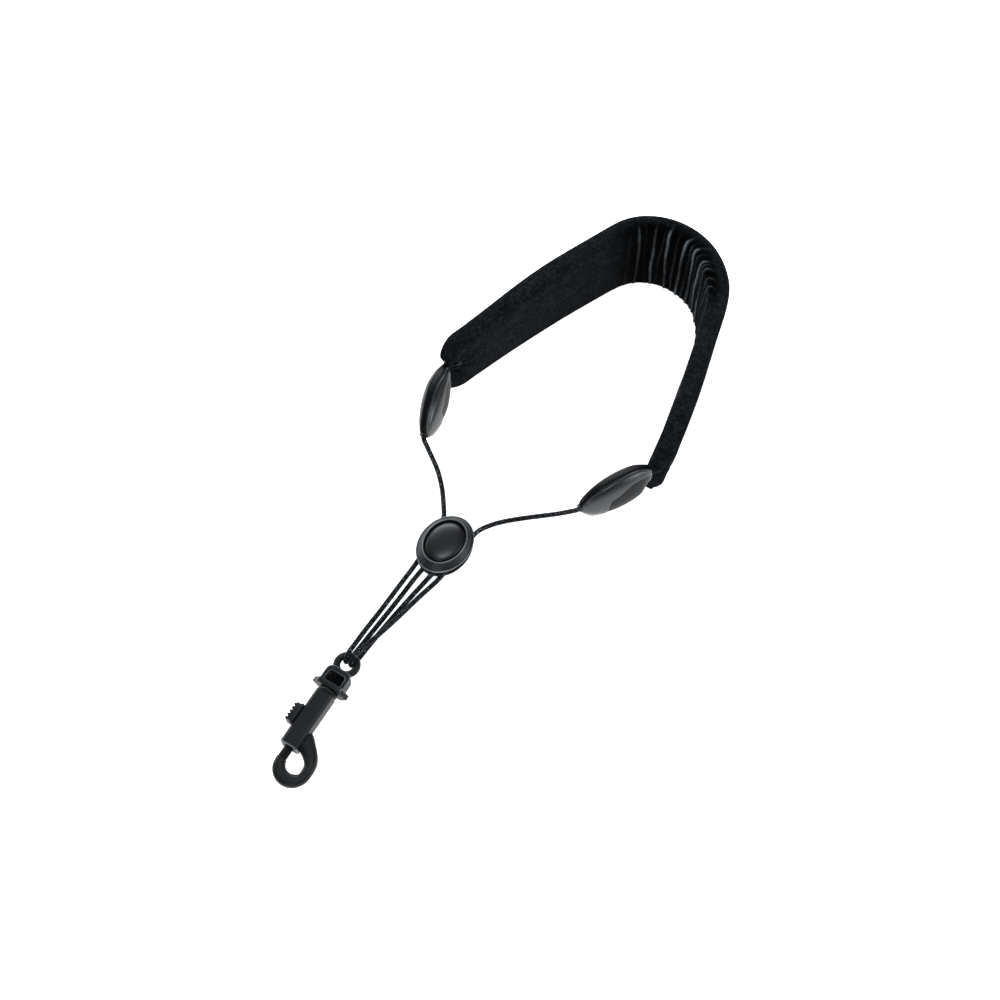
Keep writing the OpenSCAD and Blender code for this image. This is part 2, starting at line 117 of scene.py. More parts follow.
def outward(obj, weld=False):
    """Turns all faces outward, first joining a closed ring's ends if asked."""
    bm = bmesh.new()
    bm.from_mesh(obj.data)
    if weld:
        bmesh.ops.remove_doubles(bm, verts=bm.verts, dist=1e-7)
    bmesh.ops.recalc_face_normals(bm, faces=bm.faces)
    bm.to_mesh(obj.data)
    bm.free()
    return obj


def applied(obj, modifier):
    """The object with its modifier made part of the mesh."""
    bpy.context.view_layer.objects.active = obj
    bpy.ops.object.modifier_apply(modifier=modifier.name)
    return obj


def grid_faces(rows, cols, closed=True, start=0):
    """Quads over rows of cols points, closed round the row or left open."""
    i, j = np.meshgrid(np.arange(rows - 1), np.arange(cols if closed else cols - 1), indexing="ij")
    k = (j + 1) % cols
    quads = np.stack([i * cols + j, i * cols + k, (i + 1) * cols + k, (i + 1) * cols + j], -1)
    return [tuple(int(v) + start for v in q) for q in quads.reshape(-1, 4)]


def smoothstep(a, b, x):
    """0 before a, 1 past b and an easy rise between them."""
    t = np.clip((x - a) / (b - a), 0, 1)
    return t * t * (3 - 2 * t)


def curve(points, step):
    """A natural cubic through points, sampled at an even step along its length."""
    p = np.array(points, float)
    t = np.r_[0, np.cumsum(np.linalg.norm(np.diff(p, axis=0), axis=1))]
    h, n = np.diff(t), len(p)
    # Second derivatives at the points, zero at both ends
    a, b = np.eye(n), np.zeros((n, p.shape[1]))
    for i in range(1, n - 1):
        a[i, i - 1:i + 2] = h[i - 1], 2 * (h[i - 1] + h[i]), h[i]
        b[i] = 6 * ((p[i + 1] - p[i]) / h[i] - (p[i] - p[i - 1]) / h[i - 1])
    m = np.linalg.solve(a, b)
    # The cubic itself, first finely and then at even steps
    q = np.linspace(0, t[-1], 8 * n + int(4 * t[-1] / step))
    i = np.clip(np.searchsorted(t, q, side="right") - 1, 0, n - 2)
    u, v, w = (q - t[i])[:, None], (t[i + 1] - q)[:, None], h[i][:, None]
    fine = ((m[i] * v ** 3 + m[i + 1] * u ** 3) / (6 * w) + (p[i] / w - m[i] * w / 6) * v
            + (p[i + 1] / w - m[i + 1] * w / 6) * u)
    s = np.r_[0, np.cumsum(np.linalg.norm(np.diff(fine, axis=0), axis=1))]
    even = np.linspace(0, s[-1], int(round(s[-1] / step)) + 1)
    return np.stack([np.interp(even, s, fine[:, k]) for k in range(p.shape[1])], 1)


def frames(path):
    """Tangents and two side vectors along a path, carried without twist."""
    t = np.gradient(path, axis=0)
    t /= np.linalg.norm(t, axis=1)[:, None]
    u = np.zeros_like(t)
    v = np.array([0.0, 0, 1])
    for i in range(len(t)):
        v = v - t[i] * (v @ t[i])
        v /= np.linalg.norm(v)
        u[i] = v
    return t, np.cross(t, u), u


def values(obj, name, data):
    """Stores a number at each point, for a material to read."""
    layer = obj.data.attributes.new(name, "FLOAT", "POINT")
    layer.data.foreach_set("value", np.asarray(data, np.float32).ravel())


# ---- Materials ----

class Graph:
    """Shader nodes of one material, added by short calls."""

    def __init__(self, name):
        self.material = bpy.data.materials.new(name)
        self.material.use_nodes = True
        self.nodes = self.material.node_tree.nodes
        self.links = self.material.node_tree.links
        self.shader = self.nodes["Principled BSDF"]

    def add(self, kind, out=0, inputs=(), **settings):
        """Adds a node and returns one output; inputs are linked or given a value."""
        node = self.nodes.new("ShaderNode" + kind)
        for key, value in settings.items():
            setattr(node, key, value)
        for key, value in dict(inputs).items():
            if isinstance(value, bpy.types.NodeSocket):
                self.links.new(value, node.inputs[key])
            else:
                node.inputs[key].default_value = value
        return node.outputs[out]

    def place(self, scale=(1, 1, 1), turn=(0, 0, 0)):
        """Coordinates that are fixed to the object, stretched and turned."""
        where = self.add("TexCoord", out="Object")
        return self.add("Mapping", inputs={"Vector": where, "Scale": scale, "Rotation": turn})

    def noise(self, scale, detail=4, rough=0.6, at=None):
        return self.add("TexNoise", inputs={"Vector": at or self.place(), "Scale": scale,
                                            "Detail": detail, "Roughness": rough})

    def wave(self, scale, distort=0, at=None, **settings):
        return self.add("TexWave", inputs={"Vector": at or self.place(), "Scale": scale,
                                           "Distortion": distort}, **settings)

    def math(self, operation, a, b=0.0):
        return self.add("Math", inputs={0: a, 1: b}, operation=operation)

    def ramp(self, value, stops):
        """A colour by value, from stops of (position, colour)."""
        node = self.nodes.new("ShaderNodeValToRGB")
        node.color_ramp.elements.remove(node.color_ramp.elements[1])
        node.color_ramp.elements[0].position, node.color_ramp.elements[0].color = stops[0]
        for position, colour in stops[1:]:
            node.color_ramp.elements.new(position).color = colour
        self.links.new(value, node.inputs["Fac"])
        return node.outputs["Color"]

    def greys(self, value, low, high):
        """A grey that runs from low to high as the value goes from 0.3 to 0.7."""
        return self.ramp(value, [(0.3, grey(low)), (0.7, grey(high))])

    def bumps(self, *layers):
        """Bump layers given as (height, strength, distance in metres)."""
        normal = None
        for height, strength, distance in layers:
            inputs = {"Height": height, "Strength": strength, "Distance": distance}
            if normal:
                inputs["Normal"] = normal
            normal = self.add("Bump", inputs=inputs)
        self.links.new(normal, self.shader.inputs["Normal"])

    def set(self, **inputs):
        """Sets or links the shader's sockets, named with underscores for spaces."""
        for key, value in inputs.items():
            socket = self.shader.inputs[key.replace("_", " ")]
            if isinstance(value, bpy.types.NodeSocket):
                self.links.new(value, socket)
            else:
                socket.default_value = value
        return self


def grey(v, tint=(1, 1, 1)):
    """An opaque grey of brightness v, tinted."""
    return (v * tint[0], v * tint[1], v * tint[2], 1)


BLUE = (0.86, 0.98, 1.08)  # the cool tint of the black plastic and fabric


def knit_material():
    """Brushed neoprene jersey: fine ribs and a matte nap, with painted shade in the folds and
    painted highlights on the crests.
    """
    g = Graph("black_knit")
    cloud = g.noise(120, 5, 0.65)
    fine = g.noise(1800, 3, 0.7)
    rib = g.wave(520, 0.6, bands_direction="Z", wave_type="BANDS")
    course = g.wave(430, 1.2, at=g.place(turn=(0, 0, 0.7)), bands_direction="X")
    # Painted shade for the folds, read from the mesh
    depth = g.add("Attribute", out="Fac", attribute_name="fold_shade")
    # Painted highlight for the crests, read from the mesh
    crest_highlight = g.add("Attribute", out="Fac", attribute_name="crest_highlight")
    nap = g.noise(620, 4, 0.8)
    tone = g.math("ADD", g.math("MULTIPLY", g.math("ADD", cloud, fine), 0.2),
                  g.math("MULTIPLY", nap, 0.6))
    # Crests are painted lighter, as highlight
    tone = g.math("ADD", tone, g.math("MULTIPLY", crest_highlight, 0.5))
    # Folds are painted darker, as shade
    tone = g.math("SUBTRACT", tone, g.math("MULTIPLY", depth, 0.3))
    g.set(Base_Color=g.ramp(tone, [(0.3, grey(0.0008)), (0.44, grey(0.0045, BLUE)),
                                   (0.54, grey(0.012, BLUE)), (0.68, grey(0.032, BLUE)),
                                   (0.95, grey(0.14, BLUE))]),
          Roughness=g.greys(fine, 0.82, 0.97),
          Sheen_Weight=0.025, Sheen_Roughness=0.3, Sheen_Tint=(0.75, 0.8, 0.9, 1),
          Specular_IOR_Level=0.012)
    g.bumps((cloud, 0.25, 0.0006), (rib, 0.35, 0.00012), (course, 0.25, 0.0001),
            (fine, 0.5, 0.00012))
    return g.material


def webbing_material():
    """Nylon tape: coarse diagonal ribs."""
    g = Graph("black_tape")
    rib = g.wave(260, 0.3, at=g.place(turn=(0.5, 0, 0.6)), bands_direction="DIAGONAL")
    fine = g.noise(2600, 2, 0.6)
    g.set(Base_Color=g.ramp(g.math("MULTIPLY", rib, fine),
                            [(0.1, grey(0.004)), (0.6, grey(0.017, BLUE))]),
          Roughness=g.greys(fine, 0.6, 0.85), Specular_IOR_Level=0.35)
    g.bumps((rib, 0.6, 0.0002), (fine, 0.4, 0.0001))
    return g.material


def cord_material():
    """Braided polyester: painted shade in the valleys between strands, twisted yarn on each strand.
    """
    g = Graph("black_braid")
    height = g.add("Attribute", out="Fac", attribute_name="braid_shade")
    fine = g.noise(3500, 2, 0.7)
    fleck = g.noise(1100, 1, 0.5)
    # Painted shade: the valleys between strands are darker
    tone = g.math("ADD", g.math("MULTIPLY", height, 0.35), fleck)
    g.set(Base_Color=g.ramp(tone, [(0.5, grey(0.0006)), (0.74, grey(0.004, BLUE)),
                                   (0.84, grey(0.03, BLUE)), (0.98, grey(0.2, BLUE))]),
          Roughness=g.greys(fine, 0.42, 0.7),
          Sheen_Weight=0.02, Sheen_Roughness=0.4, Specular_IOR_Level=0.07)
    g.bumps((fine, 0.6, 0.00012))
    return g.material


def plastic_material(name, dark, light, rough, spec=0.5, grain=0.00004, coat=0.0):
    """Moulded plastic: fine spark-eroded grain, faint clouding, and a painted highlight that makes
    sharp edges paler.
    """
    g = Graph(name)
    fine = g.noise(5200, 2, 0.6)
    cloud = g.noise(90, 5, 0.6)
    scuff = g.noise(420, 6, 0.75, at=g.place(scale=(1, 2.4, 1)))
    edge = g.add("NewGeometry", out="Pointiness")
    # Painted highlight on sharp edges
    edge_highlight = g.math("MULTIPLY", g.math("MAXIMUM", g.math("SUBTRACT", edge, 0.52), 0.0), 4.0)
    mottle = g.math("ADD", g.math("MULTIPLY", cloud, 0.6), g.math("MULTIPLY", scuff, 0.3))
    tone = g.math("ADD", mottle, edge_highlight)
    g.set(Base_Color=g.ramp(tone, [(0.25, grey(dark, BLUE)), (0.7, grey(light, BLUE)),
                                   (1.0, grey(light * 2.6, BLUE))]),
          Roughness=g.ramp(scuff, [(0.3, grey(rough)), (0.62, grey(rough + 0.06)),
                                   (0.75, grey(rough + 0.16))]),
          Specular_IOR_Level=spec, Coat_Weight=coat, Coat_Roughness=0.25)
    g.bumps((fine, 0.35, grain), (cloud, 0.12, 0.0003))
    return g.material


def steel_material():
    """Drawn steel: fine streaks along the length."""
    g = Graph("bright_steel")
    fine = g.noise(2400, 3, 0.6, at=g.place(scale=(1, 1, 6)))
    g.set(Base_Color=g.greys(fine, 0.42, 0.62), Metallic=1.0,
          Roughness=g.greys(fine, 0.24, 0.42))
    g.bumps((fine, 0.3, 0.00003))
    return g.material


def foam_material():
    """Open-cell foam: fine pits of uneven size."""
    g = Graph("grey_foam")
    cell = g.noise(900, 2, 0.5)
    fine = g.noise(2600, 3, 0.7)
    g.set(Base_Color=g.ramp(cell, [(0.35, grey(0.01)), (0.6, grey(0.05))]),
          Roughness=g.greys(fine, 0.85, 0.98), Specular_IOR_Level=0.1)
    g.bumps((cell, 0.7, 0.0004), (fine, 0.4, 0.00015))
    return g.material


def thread_material(name, pale):
    """Twisted polyester thread."""
    g = Graph(name)
    twist = g.wave(900, 0.4, at=g.place(turn=(0.4, 0.3, 0.5)), bands_direction="DIAGONAL")
    fine = g.noise(3000, 2, 0.6)
    g.set(Base_Color=g.ramp(g.math("MULTIPLY", twist, fine),
                            [(0.1, grey(0.1 * pale)), (0.5, grey(pale, BLUE))]),
          Roughness=g.greys(fine, 0.45, 0.65), Specular_IOR_Level=0.35)
    g.bumps((twist, 0.5, 0.0001))
    return g.material


KNIT, TAPE, BRAID = knit_material(), webbing_material(), cord_material()
FOAM = foam_material()
THREAD, TACK_THREAD = thread_material("black_thread", 0.02), thread_material("worn_thread", 0.16)
CAP = plastic_material("charcoal_satin", 0.0035, 0.007, 0.27, grain=0.00002, coat=0.12)
CAP_RIM = plastic_material("charcoal_rim", 0.0025, 0.005, 0.28, spec=0.08)
# A low-gloss plastic with a coarser grain that paints shade into the thumb dish
CAP_DISH_SHADE = plastic_material("charcoal_grip_shade", 0.0035, 0.008, 0.4, spec=0.1, grain=0.0001)
# A pale plastic that paints highlights on thin edges and rims
EDGE_HIGHLIGHT = plastic_material("painted_edge_highlight", 0.08, 0.14, 0.25, spec=0.6)
BODY = plastic_material("charcoal_moulded", 0.0035, 0.007, 0.36, spec=0.3)
BUTTON = plastic_material("black_gloss", 0.0035, 0.006, 0.3, spec=0.36, grain=0.00002)
HOOK = plastic_material("charcoal_nylon", 0.004, 0.008, 0.38, spec=0.17)
# A near-black plastic that paints shade under the adjuster's rim
BODY_SHADE = plastic_material("black_moulded_shade", 0.0008, 0.0016, 0.55, spec=0.015)
HOOK_DARK = plastic_material("black_nylon", 0.0012, 0.0025, 0.45, spec=0.12)
STEEL = steel_material()


def dress(obj, material, body=None):
    """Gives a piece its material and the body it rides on."""
    obj.data.materials.clear()
    obj.data.materials.append(material)
    if body:
        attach(obj, body)
    return obj


def part_faces(obj, material, test):
    """Gives a second material to the faces whose middle, in millimetres, passes the test."""
    obj.data.materials.append(material)
    for face in obj.data.polygons:
        if test(np.array(face.center) / MM, face):
            face.material_index = len(obj.data.materials) - 1


def zoned(obj, *materials):
    """Gives further materials to the faces by the zone number of their first point."""
    zone = obj.data.attributes["zone"].data
    for material in materials:
        obj.data.materials.append(material)
    for face in obj.data.polygons:
        face.material_index = int(zone[face.vertices[0]].value + 0.5)


# ---- Cords ----

# Each route runs from where the cord leaves a piece to where it enters the next, in millimetres
UPPER_LEFT = [
    (-47.7, 13.5, 19.5), (-44.9, 6, 19.5), (-44.4, 4.6, 19.2), (-43.2, 3.7, 17.6),
    (-41.5, 3.1, 15.3), (-39.8, 2.5, 13), (-36.1, 1.1, 8.5), (-32.3, -0.9, 5),
    (-28.7, -3.7, 2.6), (-24.9, -7.4, 1.6), (-21.1, -11.8, 2.1), (-17.4, -16.3, 4),
    (-14.9, -19.9, 4.9), (-14.0, -23.8, 5), (-13.1, -30.3, 5)]
UPPER_RIGHT = [
    (44.7, 23.8, 19.5), (41.3, 16.5, 19.5), (40.5, 15.5, 18.6), (38.9, 15.4, 15.7),
    (36.4, 14.7, 12.8), (31.2, 12.4, 8.2), (26, 9.7, 4.9), (21, 6.6, 2.6), (16.4, 2.9, 1.6),
    (12.1, -1.4, 1.6), (8.1, -6.1, 1.8), (5.2, -11.2, 2.9), (3.6, -16.1, 4.5), (3, -20.6, 5),
    (3, -30.3, 5)]
LOWER_LEFT = [
    (-13.1, -30.3, 5), (-12.1, -38.8, 5), (-11.1, -47.3, 5), (-10.7, -58.8, 5), (-10.3, -70.8, 5.2),
    (-9.8, -82.8, 6.2), (-9.2, -92.8, 7.8), (-8.6, -99.8, 9), (-8.3, -104, 9.2),
    (-8, -106.6, 8.2), (-7.9, -107.85, 5.5), (-7.95, -106.6, 2.8), (-8, -104, 1.9),
    (-7.9, -97.8, 1.7), (-7.8, -85.8, 1.7), (-7.6, -73.8, 2), (-7.3, -61.8, 3.2),
    (-6.9, -51.8, 4.6), (-6.6, -47.3, 5), (-6.6, -41.3, 5), (-6.2, -39.9, 5), (-5.2, -38.85, 5),
    (-4.3, -38.5, 5), (-3.8, -38.5, 5)]
LOWER_RIGHT = [
    (-3.8, -38.5, 5), (-3.3, -38.5, 5), (-2.4, -38.85, 5), (-1.4, -39.9, 5),
    (-1, -41.3, 5), (-1.2, -47.3, 5), (-1.8, -52.8, 4.6),
    (-3, -62.8, 3.2), (-4.1, -74.8, 2), (-4.65, -86.8, 1.7), (-4.85, -97.8, 1.7), (-4.9, -104, 1.9),
    (-4.9, -106.6, 2.8), (-4.84, -107.85, 5.5), (-4.9, -106.6, 8.2), (-4.9, -104, 9.2),
    (-4.4, -99.8, 9), (-3.2, -91.8, 7.8), (-1.8, -81.8, 6.4), (-0.3, -69.8, 5.4), (1.4, -57.8, 5),
    (3, -47.3, 5), (3, -38.8, 5), (3, -30.3, 5)]
CORD_R, CORD_STEP, SIDES = 1.25 * MM, 0.25 * MM, 40
STRANDS, LAY = 8, 9.6 * MM  # strands each way, and the length of one turn of a strand
NEAR_LENGTH = 32.5  # how much of an upper cord follows its cap, in millimetres


def braid(name, path, first=0):
    """A braided tube: two families of strands that pass over and under each other."""
    t, side, up = frames(path)
    s = (first + np.arange(len(path)))[:, None] * CORD_STEP
    a = np.arange(SIDES)[None, :] / SIDES
    u, v = STRANDS * (a + s / LAY), STRANDS * (s / LAY - a)
    over = (np.floor(u) + np.floor(v)) % 2 == 0
    fu, fv = u - np.floor(u) - 0.5, v - np.floor(v) - 0.5
    crown = np.where(over, np.cos(2.7 * fu) * (0.78 + 0.22 * np.cos(6.28 * fv)),
                     np.cos(2.7 * fv) * (0.78 + 0.22 * np.cos(6.28 * fu)))
    r = CORD_R * (0.9 + 0.13 * crown)
    ang = 2 * np.pi * a
    points = (path[:, None] + (r * np.cos(ang))[..., None] * side[:, None]
              + (r * np.sin(ang))[..., None] * up[:, None]).reshape(-1, 3)
    n = len(path)
    faces = grid_faces(n, SIDES)
    faces += [tuple(range(SIDES))[::-1], tuple(range((n - 1) * SIDES, n * SIDES))]
    obj = new_mesh(name, points, faces)
    # The material paints shade into the valleys between strands
    values(obj, "braid_shade", np.clip(crown, 0, 1))
    return obj


def cord_piece(name, path, first, replaced=()):
    """A braided stretch of cord between two bodies."""
    obj = braid(name, path, first)
    dress(obj, BRAID)
    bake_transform(obj)
    if replaced:
        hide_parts(*replaced)


def upper_cord(side, route):
    """An upper cord in two stretches: one from the cap, one to the adjuster."""
    path = curve(np.array(route) * MM, CORD_STEP)
    cut = int(NEAR_LENGTH * MM / CORD_STEP)
    near, far = path[:cut + 1], path[cut:]
    cord_piece(f"upper_cord_{side}_near", near, 0,
               (f"upper_cord_{side}",))
    cord_piece(f"upper_cord_{side}_far", far, cut)


upper_cord("left", UPPER_LEFT)
upper_cord("right", UPPER_RIGHT)
for side_name, route in (("left", LOWER_LEFT), ("right", LOWER_RIGHT)):
    cord_piece(f"lower_cord_{side_name}_braid", curve(np.array(route) * MM, CORD_STEP), 0,
               (f"lower_cord_{side_name}",))


# ---- Padded band ----

# Length and turn in degrees of each run of the band's middle line, in millimetres
RUNS = [(107.7, 6.3), (15.4, 34.9), (47.4, 77.7), (23.7, 32), (31.6, -2.5), (49.5, 6.3)]
LENGTH = sum(r[0] for r in RUNS)
START_X, START_Y, START_TURN = -59.2, 46.9, 15.1  # where the middle line starts
END_WIDTH, BACK_WIDTH, END_Y, ARM_REACH = 35, 47, 48.2, 120  # the band's width by its place
END_THICK, COVER_THICK = 1.3, 0.55
FINE = 0.25  # step along the middle line
TAB_Z = 19.5  # height of the tabs that the caps turn on


def middle_line():
    """The band's middle line as s, x, y and heading, with the turns run into each other."""
    s = np.arange(0, LENGTH + FINE / 2, FINE)
    ends = np.cumsum([r[0] for r in RUNS])
    run = np.clip(np.searchsorted(ends, s, "right"), 0, len(RUNS) - 1)
    k = np.array([r[1] / r[0] for r in RUNS])[run]
    spread = np.arange(-18, 18 + FINE / 2, FINE)
    w = np.exp(-0.5 * (spread / 5) ** 2)
    k = np.convolve(np.pad(k, len(w) // 2, mode="edge"), w / w.sum(), "valid")[:len(s)]
    h = np.radians(START_TURN + np.r_[0, np.cumsum((k[1:] + k[:-1]) / 2 * FINE)])
    x = START_X + np.r_[0, np.cumsum((np.sin(h[1:]) + np.sin(h[:-1])) / 2 * FINE)]
    y = START_Y + np.r_[0, np.cumsum((np.cos(h[1:]) + np.cos(h[:-1])) / 2 * FINE)]
    return s, x, y, h


LINE = middle_line()


def band_point(s, n, z):
    """A point of the band from its distance along, out from the middle and up, in metres."""
    sc = np.clip(s, 0, LENGTH)
    x, y, h = (np.interp(sc, LINE[0], LINE[i]) for i in (1, 2, 3))
    x = x + (s - sc) * np.sin(h) - n * np.cos(h)
    y = y + (s - sc) * np.cos(h) + n * np.sin(h)
    return np.stack([x, y, z + 0 * x], -1) * MM


def band_width(s):
    """The band's width, which grows towards the back of the neck."""
    y = np.interp(np.clip(s, 0, LENGTH), LINE[0], LINE[2])
    return END_WIDTH + (BACK_WIDTH - END_WIDTH) * (y - END_Y) / ARM_REACH


# Rings lie closer together where the band turns
ring_s = np.unique(np.round(np.r_[
    0, np.linspace(0.35, 14, 20), np.arange(14, 100, 1.4), np.arange(100, 190, 0.38),
    np.arange(190, 206, 0.6), np.arange(206, 260, 1.4), np.linspace(260, LENGTH - 0.35, 22),
    LENGTH], 3))
FACE, CORNER, EDGE = 40, 7, 4  # steps up a face, round a corner and across an edge


def section(width, thick, inner_r, outer_r, foot_r):
    """Points of a rounded rectangle: up the inner face, over the top, down the outer face."""
    h = thick / 2
    p, r, q = (min(v, h - 0.05) for v in (inner_r, outer_r, foot_r))
    a = np.linspace(0, np.pi / 2, CORNER + 1)[1:]
    n, z = [np.full(FACE + 1, -h)], [np.linspace(q, width - p, FACE + 1)]
    n.append(-h + p - p * np.cos(a)), z.append(width - p + p * np.sin(a))
    n.append(np.linspace(p - h, h - r, EDGE + 1)[1:]), z.append(np.full(EDGE, width))
    n.append(h - r + r * np.sin(a)), z.append(width - r + r * np.cos(a))
    n.append(np.full(FACE, h)), z.append(np.linspace(width - r, r, FACE + 1)[1:])
    n.append(h - r + r * np.cos(a)), z.append(r - r * np.sin(a))
    n.append(np.linspace(h - r, q - h, EDGE + 1)[1:]), z.append(np.zeros(EDGE))
    n.append(-h + q - q * np.sin(a)), z.append(q - q * np.cos(a))
    return np.concatenate(n)[:-1], np.concatenate(z)[:-1]


def band_grid(inset=0.0, thick=10.0):
    """The band's surface as grids of s, n and z, before its folds."""
    s, n, z = [], [], []
    for q in ring_s:
        at_left = q < LENGTH / 2
        d = (q if at_left else LENGTH - q) / (9 if at_left else 4.4)
        t = END_THICK + (thick - END_THICK) * (1 - (1 - min(max(d, 0), 1)) ** 2.2) ** 0.6
        inner_r = 4.6 - 3.1 * float(smoothstep(142, 192, q))
        width = band_width(q)
        sn, sz = section(width - 2 * inset, max(t - 2 * inset, 0.4), inner_r, 3.2, 1.8)
        sn = sn - (0 if at_left else 0.1 * (thick - t) / 2)
        s.append(np.full_like(sn, q)), n.append(sn), z.append(sz + inset)
    s, n, z = np.array(s), np.array(n), np.array(z)
    w = band_width(s)
    bow = np.clip(1 - (2 * z / w - 1) ** 2, 0, 1)
    full = smoothstep(0, 25, np.minimum(s, LENGTH - s))
    n = n + bow * full * np.where(n < 0, -0.4, 0.25) * np.abs(n) / (thick / 2)
    # The left arm is fuller along its top, and the right arm leans in at its foot
    plump = np.exp(-((s - 62) / 34) ** 2) * smoothstep(0.35 * w, 0.95 * w, z)
    n, z = n + 1.7 * plump * smoothstep(-2, 4, n), z + 0.9 * plump
    n = n + 2.1 * smoothstep(140, 245, s) * (2 * z / w - 1)
    # The ends: rounded top corner, a full lobe over the tab and a point at the bottom
    for at_left, d in ((True, s), (False, LENGTH - s)):
        top = np.clip((z - (w - 9)) / 9, 0, 1)
        out = (4.6 if at_left else 2.6) * smoothstep(TAB_Z + 1.5, TAB_Z + 8, z)
        out -= (8 if at_left else 4) * (1 - np.sqrt(1 - 0.98 * top ** 2))
        out -= (2.8 if at_left else 1) * np.exp(-((z - TAB_Z) / 5.2) ** 2)
        out += (3 if at_left else 1.8) * np.clip(1 - z / 11, 0, 1) ** 1.5 + (0 if at_left else 1.6)
        near = 1 - smoothstep(0, 26, d)
        s = s - out * near if at_left else s + out * near
    n[0], n[-1] = 0.02 * n[0], n[-1].mean() + 0.02 * (n[-1] - n[-1].mean())
    return s, n, z


# Crests of the inner cover where the band turns: place along the band and height
CRESTS = [(106, 0.12), (112.5, 0.25), (119, 0.6), (124.3, 0.25), (129, 0.75), (133.3, 0.35),
          (137.8, 0.9), (143, 0.45), (147.8, 1), (152.3, 0.5), (156.3, 1), (160.2, 0.55),
          (164, 1), (167.3, 0.5), (170.6, 0.95), (175.2, 0.5), (180.5, 0.6), (187, 0.3)]
lean = rng.uniform(-0.045, 0.045, len(CRESTS))
phase = rng.uniform(0, 6.28, len(CRESTS))


def crests(s, n, z, w):
    """Height of the crests at a point, 0 to 1, on the inner face and over its top edge."""
    past = np.clip(n + 3.8, 0, None) * smoothstep(w - 5, w - 1, z)
    height = np.zeros_like(s)
    for (c, a), k, p in zip(CRESTS, lean, phase):
        line = c + k * (z - 22) + 0.5 * np.sin(z / 11 + p) + 0.15 * np.sin(z / 3.9 + 2 * p)
        line = line + past * (0.1 + 1.1 * smoothstep(125, 185, c))
        x = np.sqrt(((s - line) / 1.7) ** 2 + 0.004)
        strength = a * (0.82 + 0.18 * np.sin(z / 10 + 1.7 * p))
        height = np.maximum(height, strength * np.clip(1 - x, 0, 1) ** 2.4)
    return height * (0.45 + 0.55 * np.exp(-(past / 1.6) ** 2)) * np.exp(-(past / 6) ** 2)


def shape_band(s, n, z, folds=1.0):
    """Adds crests, gathers and slack to the band; returns points, the painted shade of the folds
    and the painted highlight of the crests.
    """
    w = band_width(s)
    high = crests(s, n, z, w)
    swell = np.exp(-((s - 150) / 42) ** 6)
    inner = smoothstep(2.8, -3.2, n)
    over = np.clip(smoothstep(w - 4.5, w - 0.5, z) + smoothstep(3.5, 0, z), 0, 1)
    slack = (0.3 * np.sin(s / 13 + z / 19) + 0.2 * np.sin(s / 7.3 - z / 11 + 1)) * (1 - swell)
    push = inner * ((1.6 * high - 0.5 * swell) * folds + 0.35 * slack)
    flat_n = n
    n = n - push * (1 - 0.6 * over)
    rise = over * (0.9 * high - 0.2 * swell * inner) * folds
    z = z + np.where(z > w / 2, rise, -0.5 * rise)
    # Gathers that run to each tab
    gather = np.zeros_like(s)
    for d, k, p in ((s, 11, 0.4), (LENGTH - s, 9, 1.3)):
        rho, theta = np.hypot(d, z - TAB_Z), np.arctan2(z - TAB_Z, np.maximum(d, 0) + 2)
        gather += np.exp(-rho / 7) * (0.5 - 0.5 * np.cos(k * theta + p))
    n = n * (1 - 0.3 * gather)
    z = np.clip(z, 0.02, None)
    # Painted shade in the valleys where the band swells, and along the gathers
    valley_shade = inner * swell * np.clip(1 - 3 * high, 0, 1) * 0.8
    # Painted sheen where the right arm's inner face catches the light, along its crease-free part
    inner_face_sheen = smoothstep(-3.9, -4.8, flat_n) * smoothstep(172, 192, s)
    inner_face_sheen = inner_face_sheen * smoothstep(LENGTH - 6, LENGTH - 16, s) * smoothstep(w - 9, w - 3, z)
    # Painted highlight on the crests, and painted sheen on the right arm's inner face
    seen = np.maximum(inner, smoothstep(w - 4, w - 1, z))
    pale = seen * np.clip(high * 1.25, 0, 1) ** 1.8 + 0.75 * inner_face_sheen
    return band_point(s, n, z), np.clip(valley_shade + 0.9 * gather, 0, 1), np.clip(pale, 0, 1)


